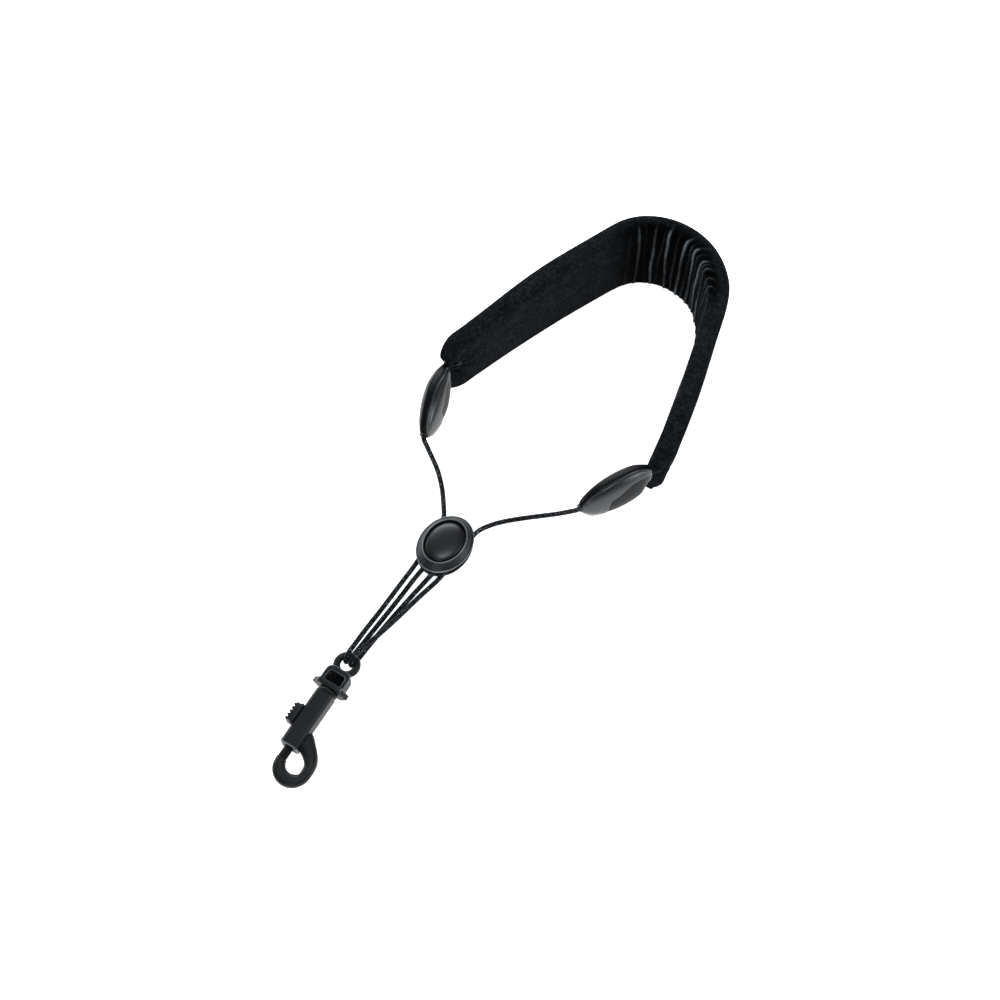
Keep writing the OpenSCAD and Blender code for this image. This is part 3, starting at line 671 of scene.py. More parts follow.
def puff(points):
    """How far pressure moves a coarse copy of the band's surface, spread over the full grid."""
    rows = np.unique(np.linspace(0, len(points) - 1, 64).astype(int))
    cols = np.arange(0, points.shape[1], 4)
    coarse = points[rows][:, cols].reshape(-1, 3)
    count = len(cols)
    faces = grid_faces(len(rows), count)
    faces += [tuple(range(count))[::-1], tuple(range(len(coarse) - count, len(coarse)))]
    obj = new_mesh("cover_puff", coarse, faces)
    held = obj.vertex_groups.new(name="held")
    held.add(list(range(2 * count)) + list(range(len(coarse) - 2 * count, len(coarse))), 1.0, "ADD")
    cloth = obj.modifiers.new("cloth", "CLOTH")
    cloth.settings.quality = 6
    cloth.settings.use_pressure = True
    cloth.settings.uniform_pressure_force = 4
    cloth.settings.vertex_group_mass = "held"
    cloth.settings.effector_weights.gravity = 0
    cloth.point_cache.frame_end = 20
    for f in range(1, 21):
        scene.frame_set(f)
    seen = obj.evaluated_get(bpy.context.evaluated_depsgraph_get())
    after = np.empty(len(coarse) * 3)
    seen.data.vertices.foreach_get("co", after)
    move = after.reshape(-1, 3) - coarse
    far = np.linalg.norm(move, axis=1)
    print("puff: median %.2f, largest %.2f mm" % (np.median(far) / MM, far.max() / MM))
    limit = 0.9 * MM
    move = (move * (limit * np.tanh(far / limit) / np.maximum(far, 1e-9))[:, None])
    move = move.reshape(len(rows), count, 3)
    scene.frame_set(1)
    bpy.data.objects.remove(obj)
    wide = np.stack([[np.interp(np.arange(points.shape[1]), np.r_[cols, points.shape[1]],
                                np.r_[line[:, i], line[0, i]]) for i in range(3)] for line in move])
    wide = wide.transpose(0, 2, 1)
    full = np.empty_like(points)
    for c in range(points.shape[1]):
        for i in range(3):
            full[:, c, i] = np.interp(np.arange(len(points)), rows, wide[:, c, i])
    kernel = np.array([1, 2, 3, 2, 1]) / 9
    for _ in range(2):
        wrapped = np.concatenate([full[:, -2:], full, full[:, :2]], 1)
        full = sum(k * wrapped[:, i:i + points.shape[1]] for i, k in enumerate(kernel))
    return full


def sheet_piece(name, points, fold_shade, crest_highlight, columns):
    """A cover panel cut out of the band's surface, given real thickness on its inner side."""
    rows, cols = points.shape[0], len(columns)
    obj = new_mesh(name, points[:, columns].reshape(-1, 3), grid_faces(rows, cols, closed=False))
    # Painted shade of the folds, for the material
    values(obj, "fold_shade", fold_shade[:, columns])
    # Painted highlight of the crests, for the material
    values(obj, "crest_highlight", crest_highlight[:, columns])
    solid = obj.modifiers.new("thickness", "SOLIDIFY")
    solid.thickness, solid.offset = COVER_THICK * MM, -1
    return applied(obj, solid)


s_grid, n_grid, z_grid = band_grid()
cover, fold_shade, crest_highlight = shape_band(s_grid, n_grid, z_grid)
cover = cover + puff(shape_band(s_grid, n_grid, z_grid, folds=0.3)[0])
cover[..., 2] = np.maximum(cover[..., 2], 0.02 * MM)
ring = s_grid.shape[1]
outer_first = FACE + CORNER + EDGE + CORNER - 1
outer_last = outer_first + FACE + 3
outer_columns = list(range(outer_first, outer_last))
inner_columns = [c % ring for c in range(outer_last - 1, outer_first + ring + 1)]
pad_inner = sheet_piece("pad_inner_cover", cover, fold_shade, crest_highlight, inner_columns)
pad_outer = sheet_piece("pad_outer_cover", cover, fold_shade, crest_highlight, outer_columns)
for piece, node in ((pad_inner, "pad_cover_inner"), (pad_outer, "pad_cover_outer")):
    dress(piece, KNIT, "band")
    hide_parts(node)


def loft(name, rings, closed_ends=True):
    """A skin over rings of equal size; both ends closed unless told otherwise."""
    rings = np.asarray(rings, float)
    count, size = rings.shape[:2]
    faces = grid_faces(count, size)
    if closed_ends:
        faces += [tuple(range(size))[::-1], tuple(range((count - 1) * size, count * size))]
    return outward(new_mesh(name, rings.reshape(-1, 3), faces))


foam_s, foam_n, foam_z = band_grid(inset=1.5, thick=9.2)
foam_points = shape_band(foam_s, foam_n, foam_z, folds=0.35)[0][9:-9]
foam = loft("pad_core", foam_points)
dress(foam, FOAM, "band")
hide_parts("pad_foam")


# Place along a stitch and its thickness there, as shares
STITCH_SHAPE = [(0, 0.25), (0.12, 0.75), (0.35, 1), (0.65, 1), (0.88, 0.75), (1, 0.25)]
STITCH_SIDES = 6


def stitches(name, line, pitch, size, material):
    """Short thread stitches laid along a line; size is a stitch's length and half thickness."""
    turn = np.arange(STITCH_SIDES) * np.pi / 3
    across, up = np.cos(turn)[:, None], np.sin(turn)[:, None]
    count = STITCH_SIDES * len(STITCH_SHAPE)
    s = np.r_[0, np.cumsum(np.linalg.norm(np.diff(line, axis=0), axis=1))]
    mids = np.arange(pitch / 2, s[-1], pitch)
    points, faces = [], []
    for m in mids:
        a, b = (np.array([np.interp(m + k * size[0] / 2, s, line[:, i]) for i in range(3)])
                for k in (-1, 1))
        t = (b - a) / np.linalg.norm(b - a)
        u = np.cross(t, (0.3, 0.2, 0.93))
        u /= np.linalg.norm(u)
        v = np.cross(t, u)
        rows = [(a + (b - a) * f)[None] + size[1] * r * (across * u + up * v)
                for f, r in STITCH_SHAPE]
        start = len(points) * count
        end = start + count
        points.append(np.concatenate(rows))
        faces += grid_faces(len(STITCH_SHAPE), STITCH_SIDES, start=start)
        faces += [tuple(range(start, start + STITCH_SIDES))[::-1],
                  tuple(range(end - STITCH_SIDES, end))]
    obj = new_mesh(name, np.concatenate(points), faces)
    return dress(obj, material, "band")


for name, column in (("pad_top_seam", outer_first + 1), ("pad_bottom_seam", outer_last - 2)):
    away = np.array([0, 0, 0.12 if column < FACE * 2 else 0]) * MM
    seam = stitches(name, cover[12:-12, column] + away, 3.1 * MM, (2.2 * MM, 0.26 * MM), THREAD)
tack_s = np.array([LENGTH - 11 + 1.5 * k for k in range(7)])
tack = np.array([cover[np.argmin(abs(ring_s - q)), outer_first + (4 if i % 2 else 12)]
                 for i, q in enumerate(tack_s)])
stitches("pad_bar_tack", tack, 2.1 * MM, (1.9 * MM, 0.15 * MM), TACK_THREAD)
# ---- Plastic parts ----

def prism(bm, outline, lo, hi, place):
    """A straight solid over an outline; place turns (x, y, depth) into a point."""
    low = [bm.verts.new(place(x, y, lo)) for x, y in outline]
    top = [bm.verts.new(place(x, y, hi)) for x, y in outline]
    n = len(outline)
    bm.faces.new(low[::-1])
    bm.faces.new(top)
    for i in range(n):
        bm.faces.new((low[i], low[(i + 1) % n], top[(i + 1) % n], top[i]))


def bevelled(name, solids, width, segments, to_world):
    """One mesh of prisms with rounded edges. Each solid is (outline, lo, hi, place)."""
    bm = bmesh.new()
    for solid in solids:
        prism(bm, *solid)
    bmesh.ops.recalc_face_normals(bm, faces=bm.faces)
    sharp = [e for e in bm.edges if len(e.link_faces) == 2 and e.calc_face_angle(0) > 0.35]
    bmesh.ops.bevel(bm, geom=sharp, offset=width, segments=segments, profile=0.5, affect="EDGES",
                    clamp_overlap=True)
    for v in bm.verts:
        v.co = Vector(to_world(np.array(v.co)))
    mesh = bpy.data.meshes.new(name)
    bmesh.ops.recalc_face_normals(bm, faces=bm.faces)
    bm.to_mesh(mesh)
    bm.free()
    obj = bpy.data.objects.new(name, mesh)
    scene.collection.objects.link(obj)
    return smooth(obj)


def smooth(obj, angle=0.6):
    """Smooth shading that keeps edges sharper than the angle."""
    mesh = obj.data
    mesh.polygons.foreach_set("use_smooth", [True] * len(mesh.polygons))
    mesh.set_sharp_from_angle(angle=angle)
    return obj


def joined(name, *objs):
    """Several meshes made one."""
    bpy.ops.object.select_all(action="DESELECT")
    for o in objs:
        o.select_set(True)
    bpy.context.view_layer.objects.active = objs[0]
    bpy.ops.object.join()
    objs[0].name = name
    return objs[0]


def cut(obj, *cutters):
    """Takes cutters out of a mesh."""
    for cutter in cutters:
        hole = obj.modifiers.new("hole", "BOOLEAN")
        hole.operation, hole.solver, hole.object = "DIFFERENCE", "EXACT", cutter
        applied(obj, hole)
    for cutter in cutters:
        bpy.data.objects.remove(cutter)
    return obj


def circle(count):
    """Cosines and sines of even steps round a full turn."""
    a = 2 * np.pi * np.arange(count) / count
    return np.cos(a), np.sin(a)


def turned(name, profile, at, axis, count=64):
    """A solid of revolution: profile of (distance along the axis, radius), in millimetres."""
    axis = np.array(axis, float)
    axis /= np.linalg.norm(axis)
    u = np.cross(axis, (0.3, 0.1, 0.95))
    u /= np.linalg.norm(u)
    v = np.cross(axis, u)
    c, s = circle(count)
    rings = [(np.array(at) + h * axis + r * (c[:, None] * u + s[:, None] * v)) * MM
             for h, r in profile]
    return smooth(loft(name, rings))


# ---- End caps ----

CAP_LEFT = (np.array([-58.9, 44.4, TAB_Z]), math.radians(-70))
CAP_RIGHT = (np.array([58.6, 53.6, TAB_Z]), math.radians(-115))
# Half height and half thickness of a cap by distance from its hinge, from one end to the other
CAP_FROM, CAP_TO, SHELL_THICK = 1.9, 40.9, 1.3
CAP_X = (CAP_FROM, 5, 9, 13, 18, 23, 28, 32, 36, 39, CAP_TO)
CAP_H = (6.3, 7.6, 8.6, 9.2, 9.5, 9.3, 8.6, 7.6, 6.2, 4.7, 3.5)
CAP_T = (2.8, 4, 5, 5.5, 5.8, 5.7, 5.3, 4.7, 3.8, 2.9, 2.2)
CAP_LOW, CAP_ROLL = 0.32, 13  # how much broader it is below the hinge line, and its lean


def cap_place(cap):
    """Turns a point of a cap's own frame into metres."""
    axis, turn = cap
    along = np.array([math.cos(turn), math.sin(turn), 0])
    across = np.array([-math.sin(turn), math.cos(turn), 0])
    return lambda p: (axis + p[..., :1] * along + p[..., 1:2] * across
                      + p[..., 2:3] * np.array([0, 0, 1.0])) * MM


def dish_edge(x):
    """The upper edge of a cap's thumb dish, as a share of the cap's half height."""
    return 0.5 - 0.45 * smoothstep(12, 28, x) - 1.2 * smoothstep(26, 31.5, x)


def cap_half(name, cap, side):
    """Half of a cap: a leaf with a raised band round its narrow edge and a thumb dish."""
    x = np.unique(np.r_[np.linspace(CAP_FROM, CAP_TO, 120), 2.1, 40.7])[:, None]
    th = np.linspace(-np.pi / 2, np.pi / 2, 97)[None, :]
    xs = np.array(CAP_X)
    fit_h, fit_t = np.polyfit(xs, CAP_H, 6), np.polyfit(xs, CAP_T, 6)
    h, t = np.polyval(fit_h, x), np.polyval(fit_t, x)
    if cap is CAP_LEFT:
        t = t * (0.75 + 0.25 * smoothstep(CAP_FROM, 7, x))
    from_end = np.minimum(x - CAP_FROM, CAP_TO - x)
    end = 1 - 0.5 * np.clip(1 - from_end / 0.9, 0, 1) ** 2 / np.maximum(h, 1)
    c, s = np.cos(th), np.sin(th)
    p = 2 / 2.5
    y = t * end * np.abs(c) ** p
    z = h * end * np.sign(s) * np.abs(s) ** p
    # A band round the narrow edge stands proud of the face, with a groove below it
    reach = np.abs(z) / h
    edge_y = 1.75 + 0.35 * np.sin(np.pi * np.clip((x - 2) / 39, 0, 1))
    down = (y - edge_y) / 0.35
    band = 1 / (1 + np.exp(np.clip(4 * down, -40, 40)))
    groove = np.exp(-((y - edge_y - 0.35) / 0.28) ** 2) * smoothstep(0.3, 0.7, reach)
    lift = smoothstep(0.35, 0.75, reach) * (0.42 * band - 0.22 * groove)
    lift = lift * smoothstep(2, 5, x) * (1 - smoothstep(38, 40.5, x))
    # The thumb dish: it runs from the hinge end and leaves the face at its lower edge
    edge = dish_edge(x)
    dish = smoothstep(0, 0.1, edge - z / h) * (1 - smoothstep(30, 32, x))
    dish = dish * smoothstep(CAP_FROM, 3.5, x)
    depth = 0.8 * dish * (0.55 + 0.45 * smoothstep(4, 20, x))
    y = np.maximum(y - depth * np.clip(c, 0, 1) ** 0.5, 0.08)
    z = z + np.sign(z) * lift
    # The face is broader below the hinge line than above it
    low, start = (0.2, 6) if cap is CAP_LEFT else (CAP_LOW, 0)
    broad = low * smoothstep(start, 8 + 2 * start, x) * smoothstep(41, 36, x)
    z = np.where(z < 0, z * (1 + broad), z)
    # Zone 1, the thumb dish, takes the low-gloss plastic that paints shade into it
    zone = np.where(dish > 0.4, 1, np.where((band > 0.5) & (reach > 0.3), 2, 0))
    # The cap leans over with its lower edge out, towards the front of the strap
    roll = math.radians(CAP_ROLL) * smoothstep(CAP_FROM, 10 + 1.5 * start, x)
    y, z = side * y * np.cos(roll) - z * np.sin(roll), z * np.cos(roll) + side * y * np.sin(roll)
    points = np.stack([x + 0 * y, y, z], -1)
    obj = new_mesh(name, cap_place(cap)(points).reshape(-1, 3),
                   grid_faces(len(x), th.shape[1], closed=False))
    values(obj, "zone", zone)
    # Faces turn away from the cap's middle, so that its thickness goes inward
    flip = bmesh.new()
    flip.from_mesh(obj.data)
    bmesh.ops.recalc_face_normals(flip, faces=flip.faces)
    flip.faces.ensure_lookup_table()
    middle = flip.faces[len(flip.faces) // 2]
    out = np.array(middle.normal) @ (np.array(middle.calc_center_median())
                                     - cap_place(cap)(np.array([20.0, 0, 0])))
    if out < 0:
        bmesh.ops.reverse_faces(flip, faces=flip.faces)
    flip.to_mesh(obj.data)
    flip.free()
    solid = obj.modifiers.new("thickness", "SOLIDIFY")
    solid.thickness, solid.offset, solid.use_even_offset = SHELL_THICK * MM, -1, False
    return smooth(applied(obj, solid), 0.9)


def neck(name, cap, end_s, nodes):
    """The gathered end of the band that narrows into a cap."""
    axis, turn = cap
    inward = 1 if end_s < LENGTH / 2 else -1
    ways = [band_point(np.array(end_s + inward * d), np.array(0.0), np.array(TAB_Z)) / MM
            for d in (5.5, 2.5, 0.4)]
    out = np.array([math.cos(turn), math.sin(turn), 0])
    path = curve(np.array(ways + [axis, axis + 2.2 * out, axis + 4.6 * out]), 0.12)
    t, side, up = frames(path)
    f = np.linspace(0, 1, len(path))[:, None]
    a = np.linspace(0, 2 * np.pi, 121)[None, :-1]
    half_h = 8.2 - 4.1 * smoothstep(0, 0.62, f)
    half_t = 3.9 - 2.0 * smoothstep(0.1, 0.7, f)
    fold_depth = 0.16 * smoothstep(0, 0.4, f) * (1 - 0.35 * smoothstep(0.7, 1, f))
    ripple = 1 - fold_depth * (0.5 + 0.5 * np.cos(15 * a + 1.3 * np.sin(3 * a) + 2 * f))
    c, s = np.cos(a), np.sin(a)
    y = half_t * np.sign(c) * np.abs(c) ** 0.8 * ripple
    z = half_h * np.sign(s) * np.abs(s) ** 0.9 * (1 - 0.35 * (1 - ripple))
    rings = path[:, None] + y[..., None] * side[:, None] + z[..., None] * up[:, None]
    obj = loft(name, rings * MM)
    # Painted shade in the neck's folds
    values(obj, "fold_shade", np.clip((1 - ripple) * 5, 0, 1))
    # Painted highlight between the neck's folds
    values(obj, "crest_highlight", np.clip(0.35 - (1 - ripple) * 4, 0, 1) + 0 * f)
    dress(obj, KNIT)
    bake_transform(obj)
    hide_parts(*nodes)


# Distance along the cord and radius, for the collar at a cap's tip
FERRULE = [(0.3, 1.45), (0, 1.7), (0, 2.1), (0.2, 2.3), (1.3, 2.15), (1.6, 2.3), (1.9, 2.3),
           (2.1, 2.1), (2.15, 1.6), (1.9, 1.42)]

for side_name, cap, end_s, inner in (("left", CAP_LEFT, 0.0, 1), ("right", CAP_RIGHT, LENGTH, -1)):
    body = f"{side_name}_cap"
    for kind, way in (("inner", inner), ("outer", -inner)):
        half = cap_half(f"{side_name}_cap_{kind}_half", cap, way)
        dress(half, CAP, body)
        # The thumb dish is given painted shade
        zoned(half, CAP_DISH_SHADE, CAP_RIM)
        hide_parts(f"{side_name}_cap_{kind}_shell")
    neck(f"{side_name}_gathered_neck", cap, end_s,
         (f"{side_name}_tab", f"{side_name}_webbing_loop"))
    place = cap_place(cap)
    tip = place(np.array([39.7, 0, 0.0])) / MM
    out = (place(np.array([1.0, 0, 0])) - place(np.zeros(3))) / MM
    ferrule = turned(f"{side_name}_cap_ferrule", FERRULE, tip, out)
    dress(ferrule, BUTTON, body)


# ---- Adjuster ----

ADJ = np.array([-5, -32.3, 0])  # the adjuster's middle


def oval_rings(profile):
    """Rings round the adjuster's middle from (half width, half length, height)."""
    c, s = circle(120)
    return [(ADJ + np.stack([w * c, l * s, 0 * c + z], -1)) * MM for w, l, z in profile]


def ring_solid(name, profile):
    """A closed ring swept round the oval profile."""
    rings = oval_rings(profile + profile[:1])
    return outward(loft(name, rings, closed_ends=False), weld=True)


def cord_holes(tag):
    """Cutters round each cord where it goes through the adjuster's wall."""
    ways = (((-14.4, -19.4, 5), (-14, -23.8, 5)), ((3, -18.8, 5), (3, -23.8, 5)),
            ((-11.1, -47.3, 5), (-12.1, -38.8, 5)), ((3, -47.3, 5), (3, -38.8, 5)),
            ((-6.6, -47.3, 5), (-6.6, -41.3, 5)), ((-1.2, -47.3, 5), (-1, -41.3, 5)))
    holes = []
    for i, (a, b) in enumerate(ways):
        a, b = np.array(a, float), np.array(b, float)
        d = (b - a) / np.linalg.norm(b - a)
        reach = np.linalg.norm(b - a)
        holes.append(turned(f"hole_{tag}_{i}", [(-5, 1.62), (reach + 1.5, 1.6)], a, d, count=40))
    return holes


top = ring_solid("adjuster_top_rim", [
    (12.2, 15.7, 5.06), (12.35, 15.85, 5.2), (12.6, 16.1, 6), (12.9, 16.4, 6.55),
    (12.98, 16.48, 6.75), (12.98, 16.48, 6.95), (12.88, 16.38, 7.12), (12.68, 16.16, 7.2),
    (12.46, 15.92, 7.2), (12.2, 15.62, 7.3), (11.6, 14.95, 7.9), (10.9, 14.1, 8.65),
    (10.4, 13.45, 9.2), (10.1, 13.05, 9.45), (9.98, 12.85, 9.7), (9.95, 12.8, 10.4),
    (9.9, 12.72, 10.58), (9.78, 12.56, 10.67), (9.66, 12.38, 10.66), (9.56, 12.24, 10.55),
    (9.5, 12.12, 10.3), (9.48, 12, 9.6), (9.3, 11.7, 9.2), (9.12, 11.42, 8.9), (9.12, 11.42, 8.6),
    (9.4, 11.8, 8.6), (10.4, 13.6, 8.2), (11.2, 14.6, 7.4), (11.2, 14.6, 5.06)])
top = smooth(cut(top, *cord_holes("top")), 0.5)
dress(top, BODY, "adjuster")


def out_from_middle(at):
    """How far a point lies out on the adjuster's oval, as a half width."""
    return math.hypot(at[0] - ADJ[0], (at[1] - ADJ[1]) * 12.98 / 16.48)


def on_wall(at, face):
    """The rim's outer wall, below its rounded edge, which gets painted shade."""
    return out_from_middle(at) > 12 and at[2] < 6.6


def on_rim_edge(at, face):
    """The edges round the button and round the rim, which get a painted highlight."""
    return at[2] > 10.45 or (out_from_middle(at) > 12.6 and at[2] > 6.9)


# Painted shade on the rim's wall
part_faces(top, BODY_SHADE, on_wall)
# Painted highlight on the edges round the button and the rim
part_faces(top, EDGE_HIGHLIGHT, on_rim_edge)
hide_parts("adjuster_top_shell")
base_outer = [(1, 1.5, 0.02), (6, 8, 0.02), (10.6, 14.1, 0.05), (11.4, 14.9, 0.2), (12, 15.5, 0.6),
              (12.35, 15.85, 1.3), (12.5, 16, 2.2), (12.5, 16, 4.6), (12.42, 15.92, 4.85),
              (12.3, 15.8, 4.95), (10.8, 14.3, 4.95), (10.7, 14.2, 4.8), (10.7, 14.2, 1.6),
              (10.2, 13.6, 1.2), (6, 8, 1.2), (1, 1.5, 1.2)]
base = cut(smooth(loft("adjuster_base", oval_rings(base_outer))), *cord_holes("base"))
# The base is painted near black as shade under the rim
dress(smooth(base, 0.5), BODY_SHADE, "adjuster")
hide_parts("adjuster_bottom_shell")
button_face = smooth(loft("button_face", oval_rings([
    (1, 1.5, 7.9), (9.3, 11.6, 7.9), (9.3, 11.6, 8.45), (8.75, 11.05, 8.5), (8.75, 11.05, 9.5),
    (8.7, 11, 9.72), (8.5, 10.78, 9.95), (8.1, 10.3, 10.2), (7.4, 9.5, 10.46), (6.4, 8.2, 10.72),
    (5, 6.5, 10.93), (3.4, 4.4, 11.06), (1.8, 2.4, 11.11), (0.7, 0.9, 11.12)])), 0.9)
legs = bevelled("button_legs", [
    ([(x - 1, -1.5), (x + 1, -1.5), (x + 1, 1.5), (x - 1, 1.5)], 2.5, 8, lambda x, y, d: (x, y, d))
    for x in (-4.5, 4.5)], 0.2, 3, lambda p: (p + ADJ + (0, 2, 0)) * MM)
button = joined("thumb_button", button_face, legs)
dress(button, BUTTON, "button")
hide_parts("release_button")


# ---- Snap hook ----

HOOK_AT, HOOK_TURN = np.array([-5.5, -122.8, 5.5]), math.radians(3.5)
HX, HY = (np.array(v) for v in ((math.cos(HOOK_TURN), math.sin(HOOK_TURN), 0),
                                (-math.sin(HOOK_TURN), math.cos(HOOK_TURN), 0)))


def hooked(p):
    """A point of the hook's own frame, in metres."""
    p = np.asarray(p, float)
    return (HOOK_AT + p[..., :1] * HX + p[..., 1:2] * HY + p[..., 2:3] * np.array([0, 0, 1.0])) * MM


def hook_turned(name, profile):
    """A solid turned about the hook's long axis: profile of (y, radius)."""
    c, s = circle(64)
    rings = [hooked(np.stack([r * c, y + 0 * c, r * s], -1)) for y, r in profile]
    return smooth(loft(name, rings))


def flat(x, y, d):
    """Lays an outline flat, its depth upwards."""
    return (x, y, d)


def upright(x, z, d):
    """Stands an outline across the hook, its depth along it."""
    return (x, d, z)


def in_hook(at):
    """A point in millimetres, in the hook's own frame."""
    return np.array([(at - HOOK_AT) @ HX, (at - HOOK_AT) @ HY, at[2] - HOOK_AT[2]])


def on_barrel_edge(at, face):
    """The rim of the barrel's open end and the edges of its cut corners, which get a painted
    highlight.
    """
    x, y, z = in_hook(at)
    return -33.35 < y < -32.65 and 3.9 < max(abs(x), abs(z)) and abs(x) < 4.7


def on_bracket_edge(at, face):
    """The edges of the eye's bracket and plate, which get a painted highlight."""
    x, y, z = in_hook(at)
    return 0 < y < 10.2 and abs(z) < 5.4 and 0.35 < abs(face.normal[2]) < 0.93 and face.area < 3e-6


def eye_ring():
    """The round ring of the swivel eye."""
    a, b = circle(28)
    wide, thick = 4.8 + 1.75 * a, 1.7 * b
    rings = [hooked(np.stack([wide * c, 13.75 + wide * s, thick], -1)) for c, s in zip(*circle(72))]
    return smooth(outward(loft("eye_ring", rings + rings[:1], closed_ends=False), weld=True))


# Swivel eye: ring, arched bracket and six-sided plate
eye_mesh = eye_ring()
arch = [(-6.4, 0.85), (-4.3, 0.85), (-4.3, 6.3), (-3.5, 7.2), (3.5, 7.2), (4.3, 6.3), (4.3, 0.85),
        (6.4, 0.85), (6.4, 7.2), (5.6, 8.9), (3.7, 9.9), (-3.7, 9.9), (-5.6, 8.9), (-6.4, 7.2)]
hexagon = [(9.7, 0), (6, 5.5), (-6, 5.5), (-9.7, 0), (-6, -5.5), (6, -5.5)]
bracket = bevelled("eye_bracket", [(arch, -3.8, 3.8, flat)], 0.45, 4, hooked)
plate = bevelled("eye_plate", [(hexagon, -1.05, 1.5, upright)], 0.4, 4, hooked)
eye = joined("swivel_eye_piece", eye_mesh, bracket, plate)
dress(eye, HOOK, "eye")
# Painted highlight on the bracket's and plate's edges
part_faces(eye, EDGE_HIGHLIGHT, on_bracket_edge)
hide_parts("swivel_eye")
rivet = hook_turned("swivel_rivet_piece", [
    (-5.5, 1.2), (-5.5, 2.3), (-5.2, 2.5), (1.7, 2.5), (1.7, 3.9), (1.9, 4.1), (5.6, 4.1),
    (6.2, 3.95), (6.7, 3.5), (6.92, 3), (6.95, 0.6)])
# The rivet uses the same near-black plastic as the painted shade
dress(rivet, BODY_SHADE, "hook")
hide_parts("swivel_rivet")


def barrel_ring(y, grow=0.0, notch=False, hole=None):
    """A ring of the barrel: square with cut corners, with a slot on its thumb side if notched."""
    h, k = 4.5 + grow, 3.3 + grow * 0.6
    corners = [(h, k), (k, h), (-k, h), (-h, k), None, (-h, -k), (-k, -h), (k, -h), (h, -k)]
    x_in = -2.9 if notch else -h
    outline = []
    for i, p in enumerate(corners):
        if p is None:
            upper = (x_in, 1.58) if notch else (-h, 1.59)
            lower = (x_in, -1.58) if notch else (-h, -1.59)
            outline += [(-h, 1.6), upper, (x_in, 0.8), (x_in, 0), (x_in, -0.8), lower, (-h, -1.6)]
            continue
        q = corners[(i + 1) % len(corners)]
        outline.append(p)
        if q is not None and i != 3:
            steps = 8 if i % 2 else 3
            outline += [tuple(np.array(p) + (np.array(q) - p) * f / steps) for f in range(1, steps)]
    pts = np.array(outline, float)
    if hole is not None:
        pts = pts / np.linalg.norm(pts, axis=1)[:, None] * hole
    return hooked(np.stack([pts[:, 0], 0 * pts[:, 0] + y, pts[:, 1]], -1))


barrel = smooth(loft("hook_barrel", [
    barrel_ring(-29, hole=2.3), barrel_ring(-33.1, hole=2.3), barrel_ring(-33.3, hole=2.5),
    barrel_ring(-33.3, -0.45), barrel_ring(-33.22, -0.2), barrel_ring(-33, -0.05),
    barrel_ring(-32.7), barrel_ring(-23.7), barrel_ring(-23.6), barrel_ring(-23.58, notch=True),
    barrel_ring(-12.2, notch=True), barrel_ring(-12.18), barrel_ring(-12), barrel_ring(-4),
    barrel_ring(-3.5, -0.05), barrel_ring(-3.25, -0.3), barrel_ring(-3.2, -0.6)]), 0.45)
collar = hook_turned("hook_collar", [
    (-4.6, 2), (-4.6, 4.2), (-3.5, 4.35), (-3.2, 4.55), (-3, 4.85), (-2.7, 4.95), (-1.9, 4.95),
    (-1.5, 4.85), (-1.3, 4.6), (-1.25, 3.5), (-1.25, 2.6)])


def bulge(t):
    """How much thicker the loop is on its inner side, by angle round it."""
    return 0.7 * math.sin(min(1.15 * t, math.pi)) ** 0.8


# The loop: tip, round the bottom, then up the broad spine into the barrel
loop_path = [(0.2, -39.2, 2.6, 2.6), (0.2, -40.2, 2.6, 2.6)]
loop_path += [(7 - (6.8 - bulge(t)) * math.cos(t), -40.2 - (6.8 - bulge(t)) * math.sin(t),
               2.6 + bulge(t), 2.6) for t in np.radians(np.arange(12, 170, 12))]
loop_path += [(13.8, -40.0, 2.6, 2.6), (13.75, -38, 2.65, 2.6), (13.5, -36.2, 2.8, 2.6),
              (12.6, -34, 3.1, 2.6), (11, -32, 3.4, 2.6), (9.2, -30.4, 3.7, 2.6),
              (7.2, -29, 4.1, 2.6), (5, -27.6, 4.6, 2.55), (3, -26.4, 4.8, 2.4)]
loop = curve(np.array(loop_path), 0.35)
centre = np.stack([loop[:, 0], loop[:, 1], 0 * loop[:, 0]], -1)
lt, lside, lup = frames(centre)
ca, sa = circle(40)
squared = np.where(loop[:, 2] > 2.9, 0.72, 0.88)[:, None]
sides = loop[:, 2:3] * np.sign(ca) * np.abs(ca) ** squared
heights = loop[:, 3:4] * np.sign(sa) * np.abs(sa) ** squared
loop_rings = centre[:, None] + sides[..., None] * lside[:, None] + heights[..., None] * lup[:, None]
tip_rings = [centre[0] + (loop_rings[0] - centre[0]) * k + np.array([0, d, 0])
             for k, d in ((0.2, 0.22), (0.8, 0.22), (0.93, 0.14))]
hook_loop = smooth(loft("hook_loop", [hooked(r) for r in tip_rings + list(loop_rings)]), 0.7)
hook = joined("hook_body_piece", barrel, collar, hook_loop)
dress(hook, HOOK, "hook")
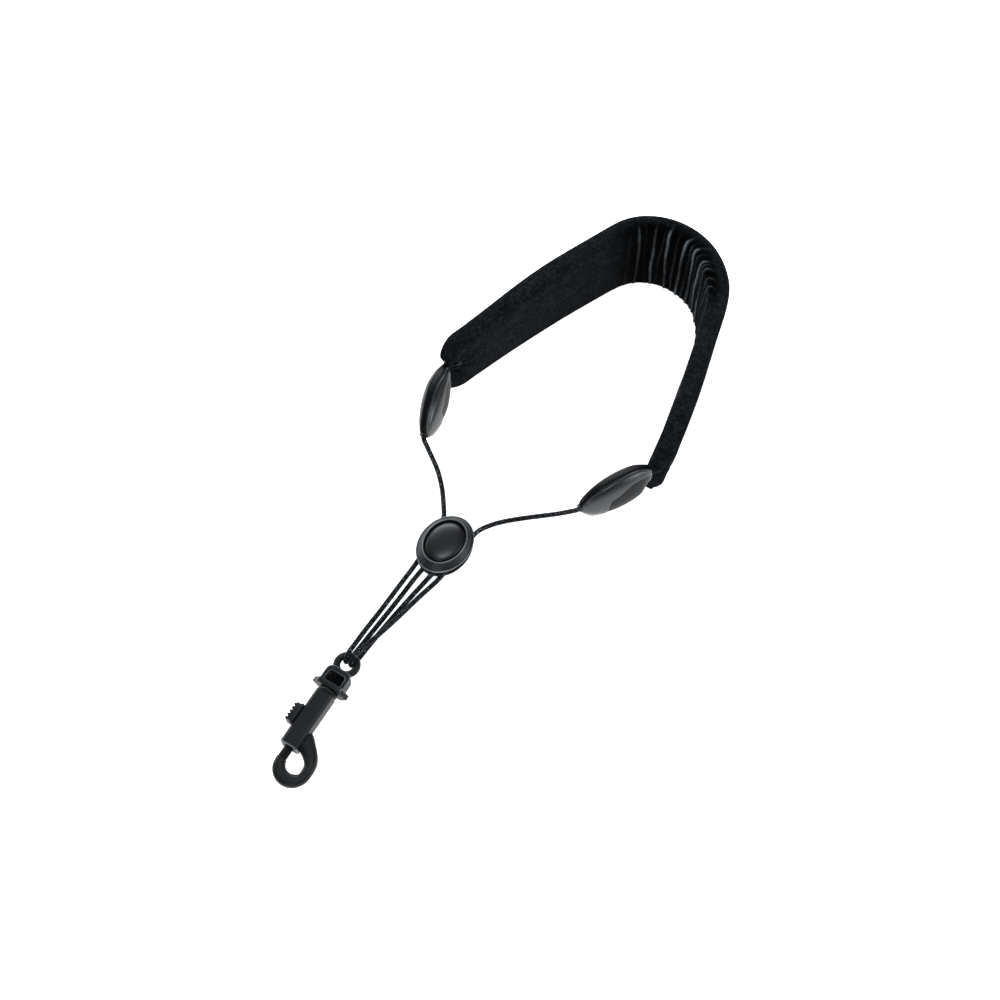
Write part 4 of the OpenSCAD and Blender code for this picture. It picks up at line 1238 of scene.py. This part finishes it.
# Painted highlight on the barrel's open end
part_faces(hook, EDGE_HIGHLIGHT, on_barrel_edge)
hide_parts("hook_body")
bolt = hook_turned("latch_bolt_piece", [
    (-39.05, 0.8), (-39.05, 1.75), (-38.95, 2.02), (-38.7, 2.17), (-38.3, 2.2), (-23.7, 2.2),
    (-23.6, 2.9), (-18.6, 2.9), (-18.5, 2.7), (-18.5, 0.8)])
dress(bolt, HOOK_DARK, "bolt")
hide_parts("latch_bolt")
pitch = 9.3 / 5
teeth = [(-4.72, -14), (-4.72, -23.3)]
for i in range(5):
    y0 = -23.3 + i * pitch
    teeth += [(-8.9, y0 + 0.02), (-8.9, y0 + 0.5 * pitch),
              (-8.05, y0 + 0.62 * pitch), (-8.05, y0 + 0.97 * pitch)]
pad_piece = bevelled("trigger_pad", [(teeth, -4, 4, flat)], 0.12, 2, hooked)
foot = bevelled("trigger_foot", [
    ([(-4.75, -24.2), (-4.75, -13.4), (-5.9, -13.6), (-5.9, -24)], -4.25, 4.25, flat),
    ([(-2.6, -23.3), (-2.6, -18.7), (-4.9, -18.7), (-4.9, -23.3)], -1.5, 1.5, flat)],
    0.2, 2, hooked)
trigger = joined("thumb_trigger_piece", pad_piece, foot)
dress(trigger, HOOK, "bolt")
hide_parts("thumb_trigger")

# Parts kept from the model, most of them inside others
KEPT_PARTS = {"load_webbing": TAPE, "left_webbing_pin": STEEL, "right_webbing_pin": STEEL,
              "left_cord_knot": BRAID, "right_cord_knot": BRAID, "lock_bar": STEEL,
              "lock_spring": STEEL, "latch_spring": STEEL}
for node, material in KEPT_PARTS.items():
    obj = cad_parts[node]
    obj.data.materials.clear()
    obj.data.materials.append(material)




# ---- Floor ----

def floor_material():
    g = Graph("white_table")
    cloud = g.noise(6, 3, 0.5)
    g.set(Base_Color=g.greys(cloud, 0.93, 0.96), Roughness=0.7,
          Specular_IOR_Level=0.2, Emission_Color=(1, 1, 1, 1), Emission_Strength=0.86)
    return g.material


floor = new_mesh("floor", [(-9, -9, -0.0002), (9, -9, -0.0002), (9, 9, -0.0002), (-9, 9, -0.0002)],
                 [(0, 1, 2, 3)])
floor.data.materials.append(floor_material())
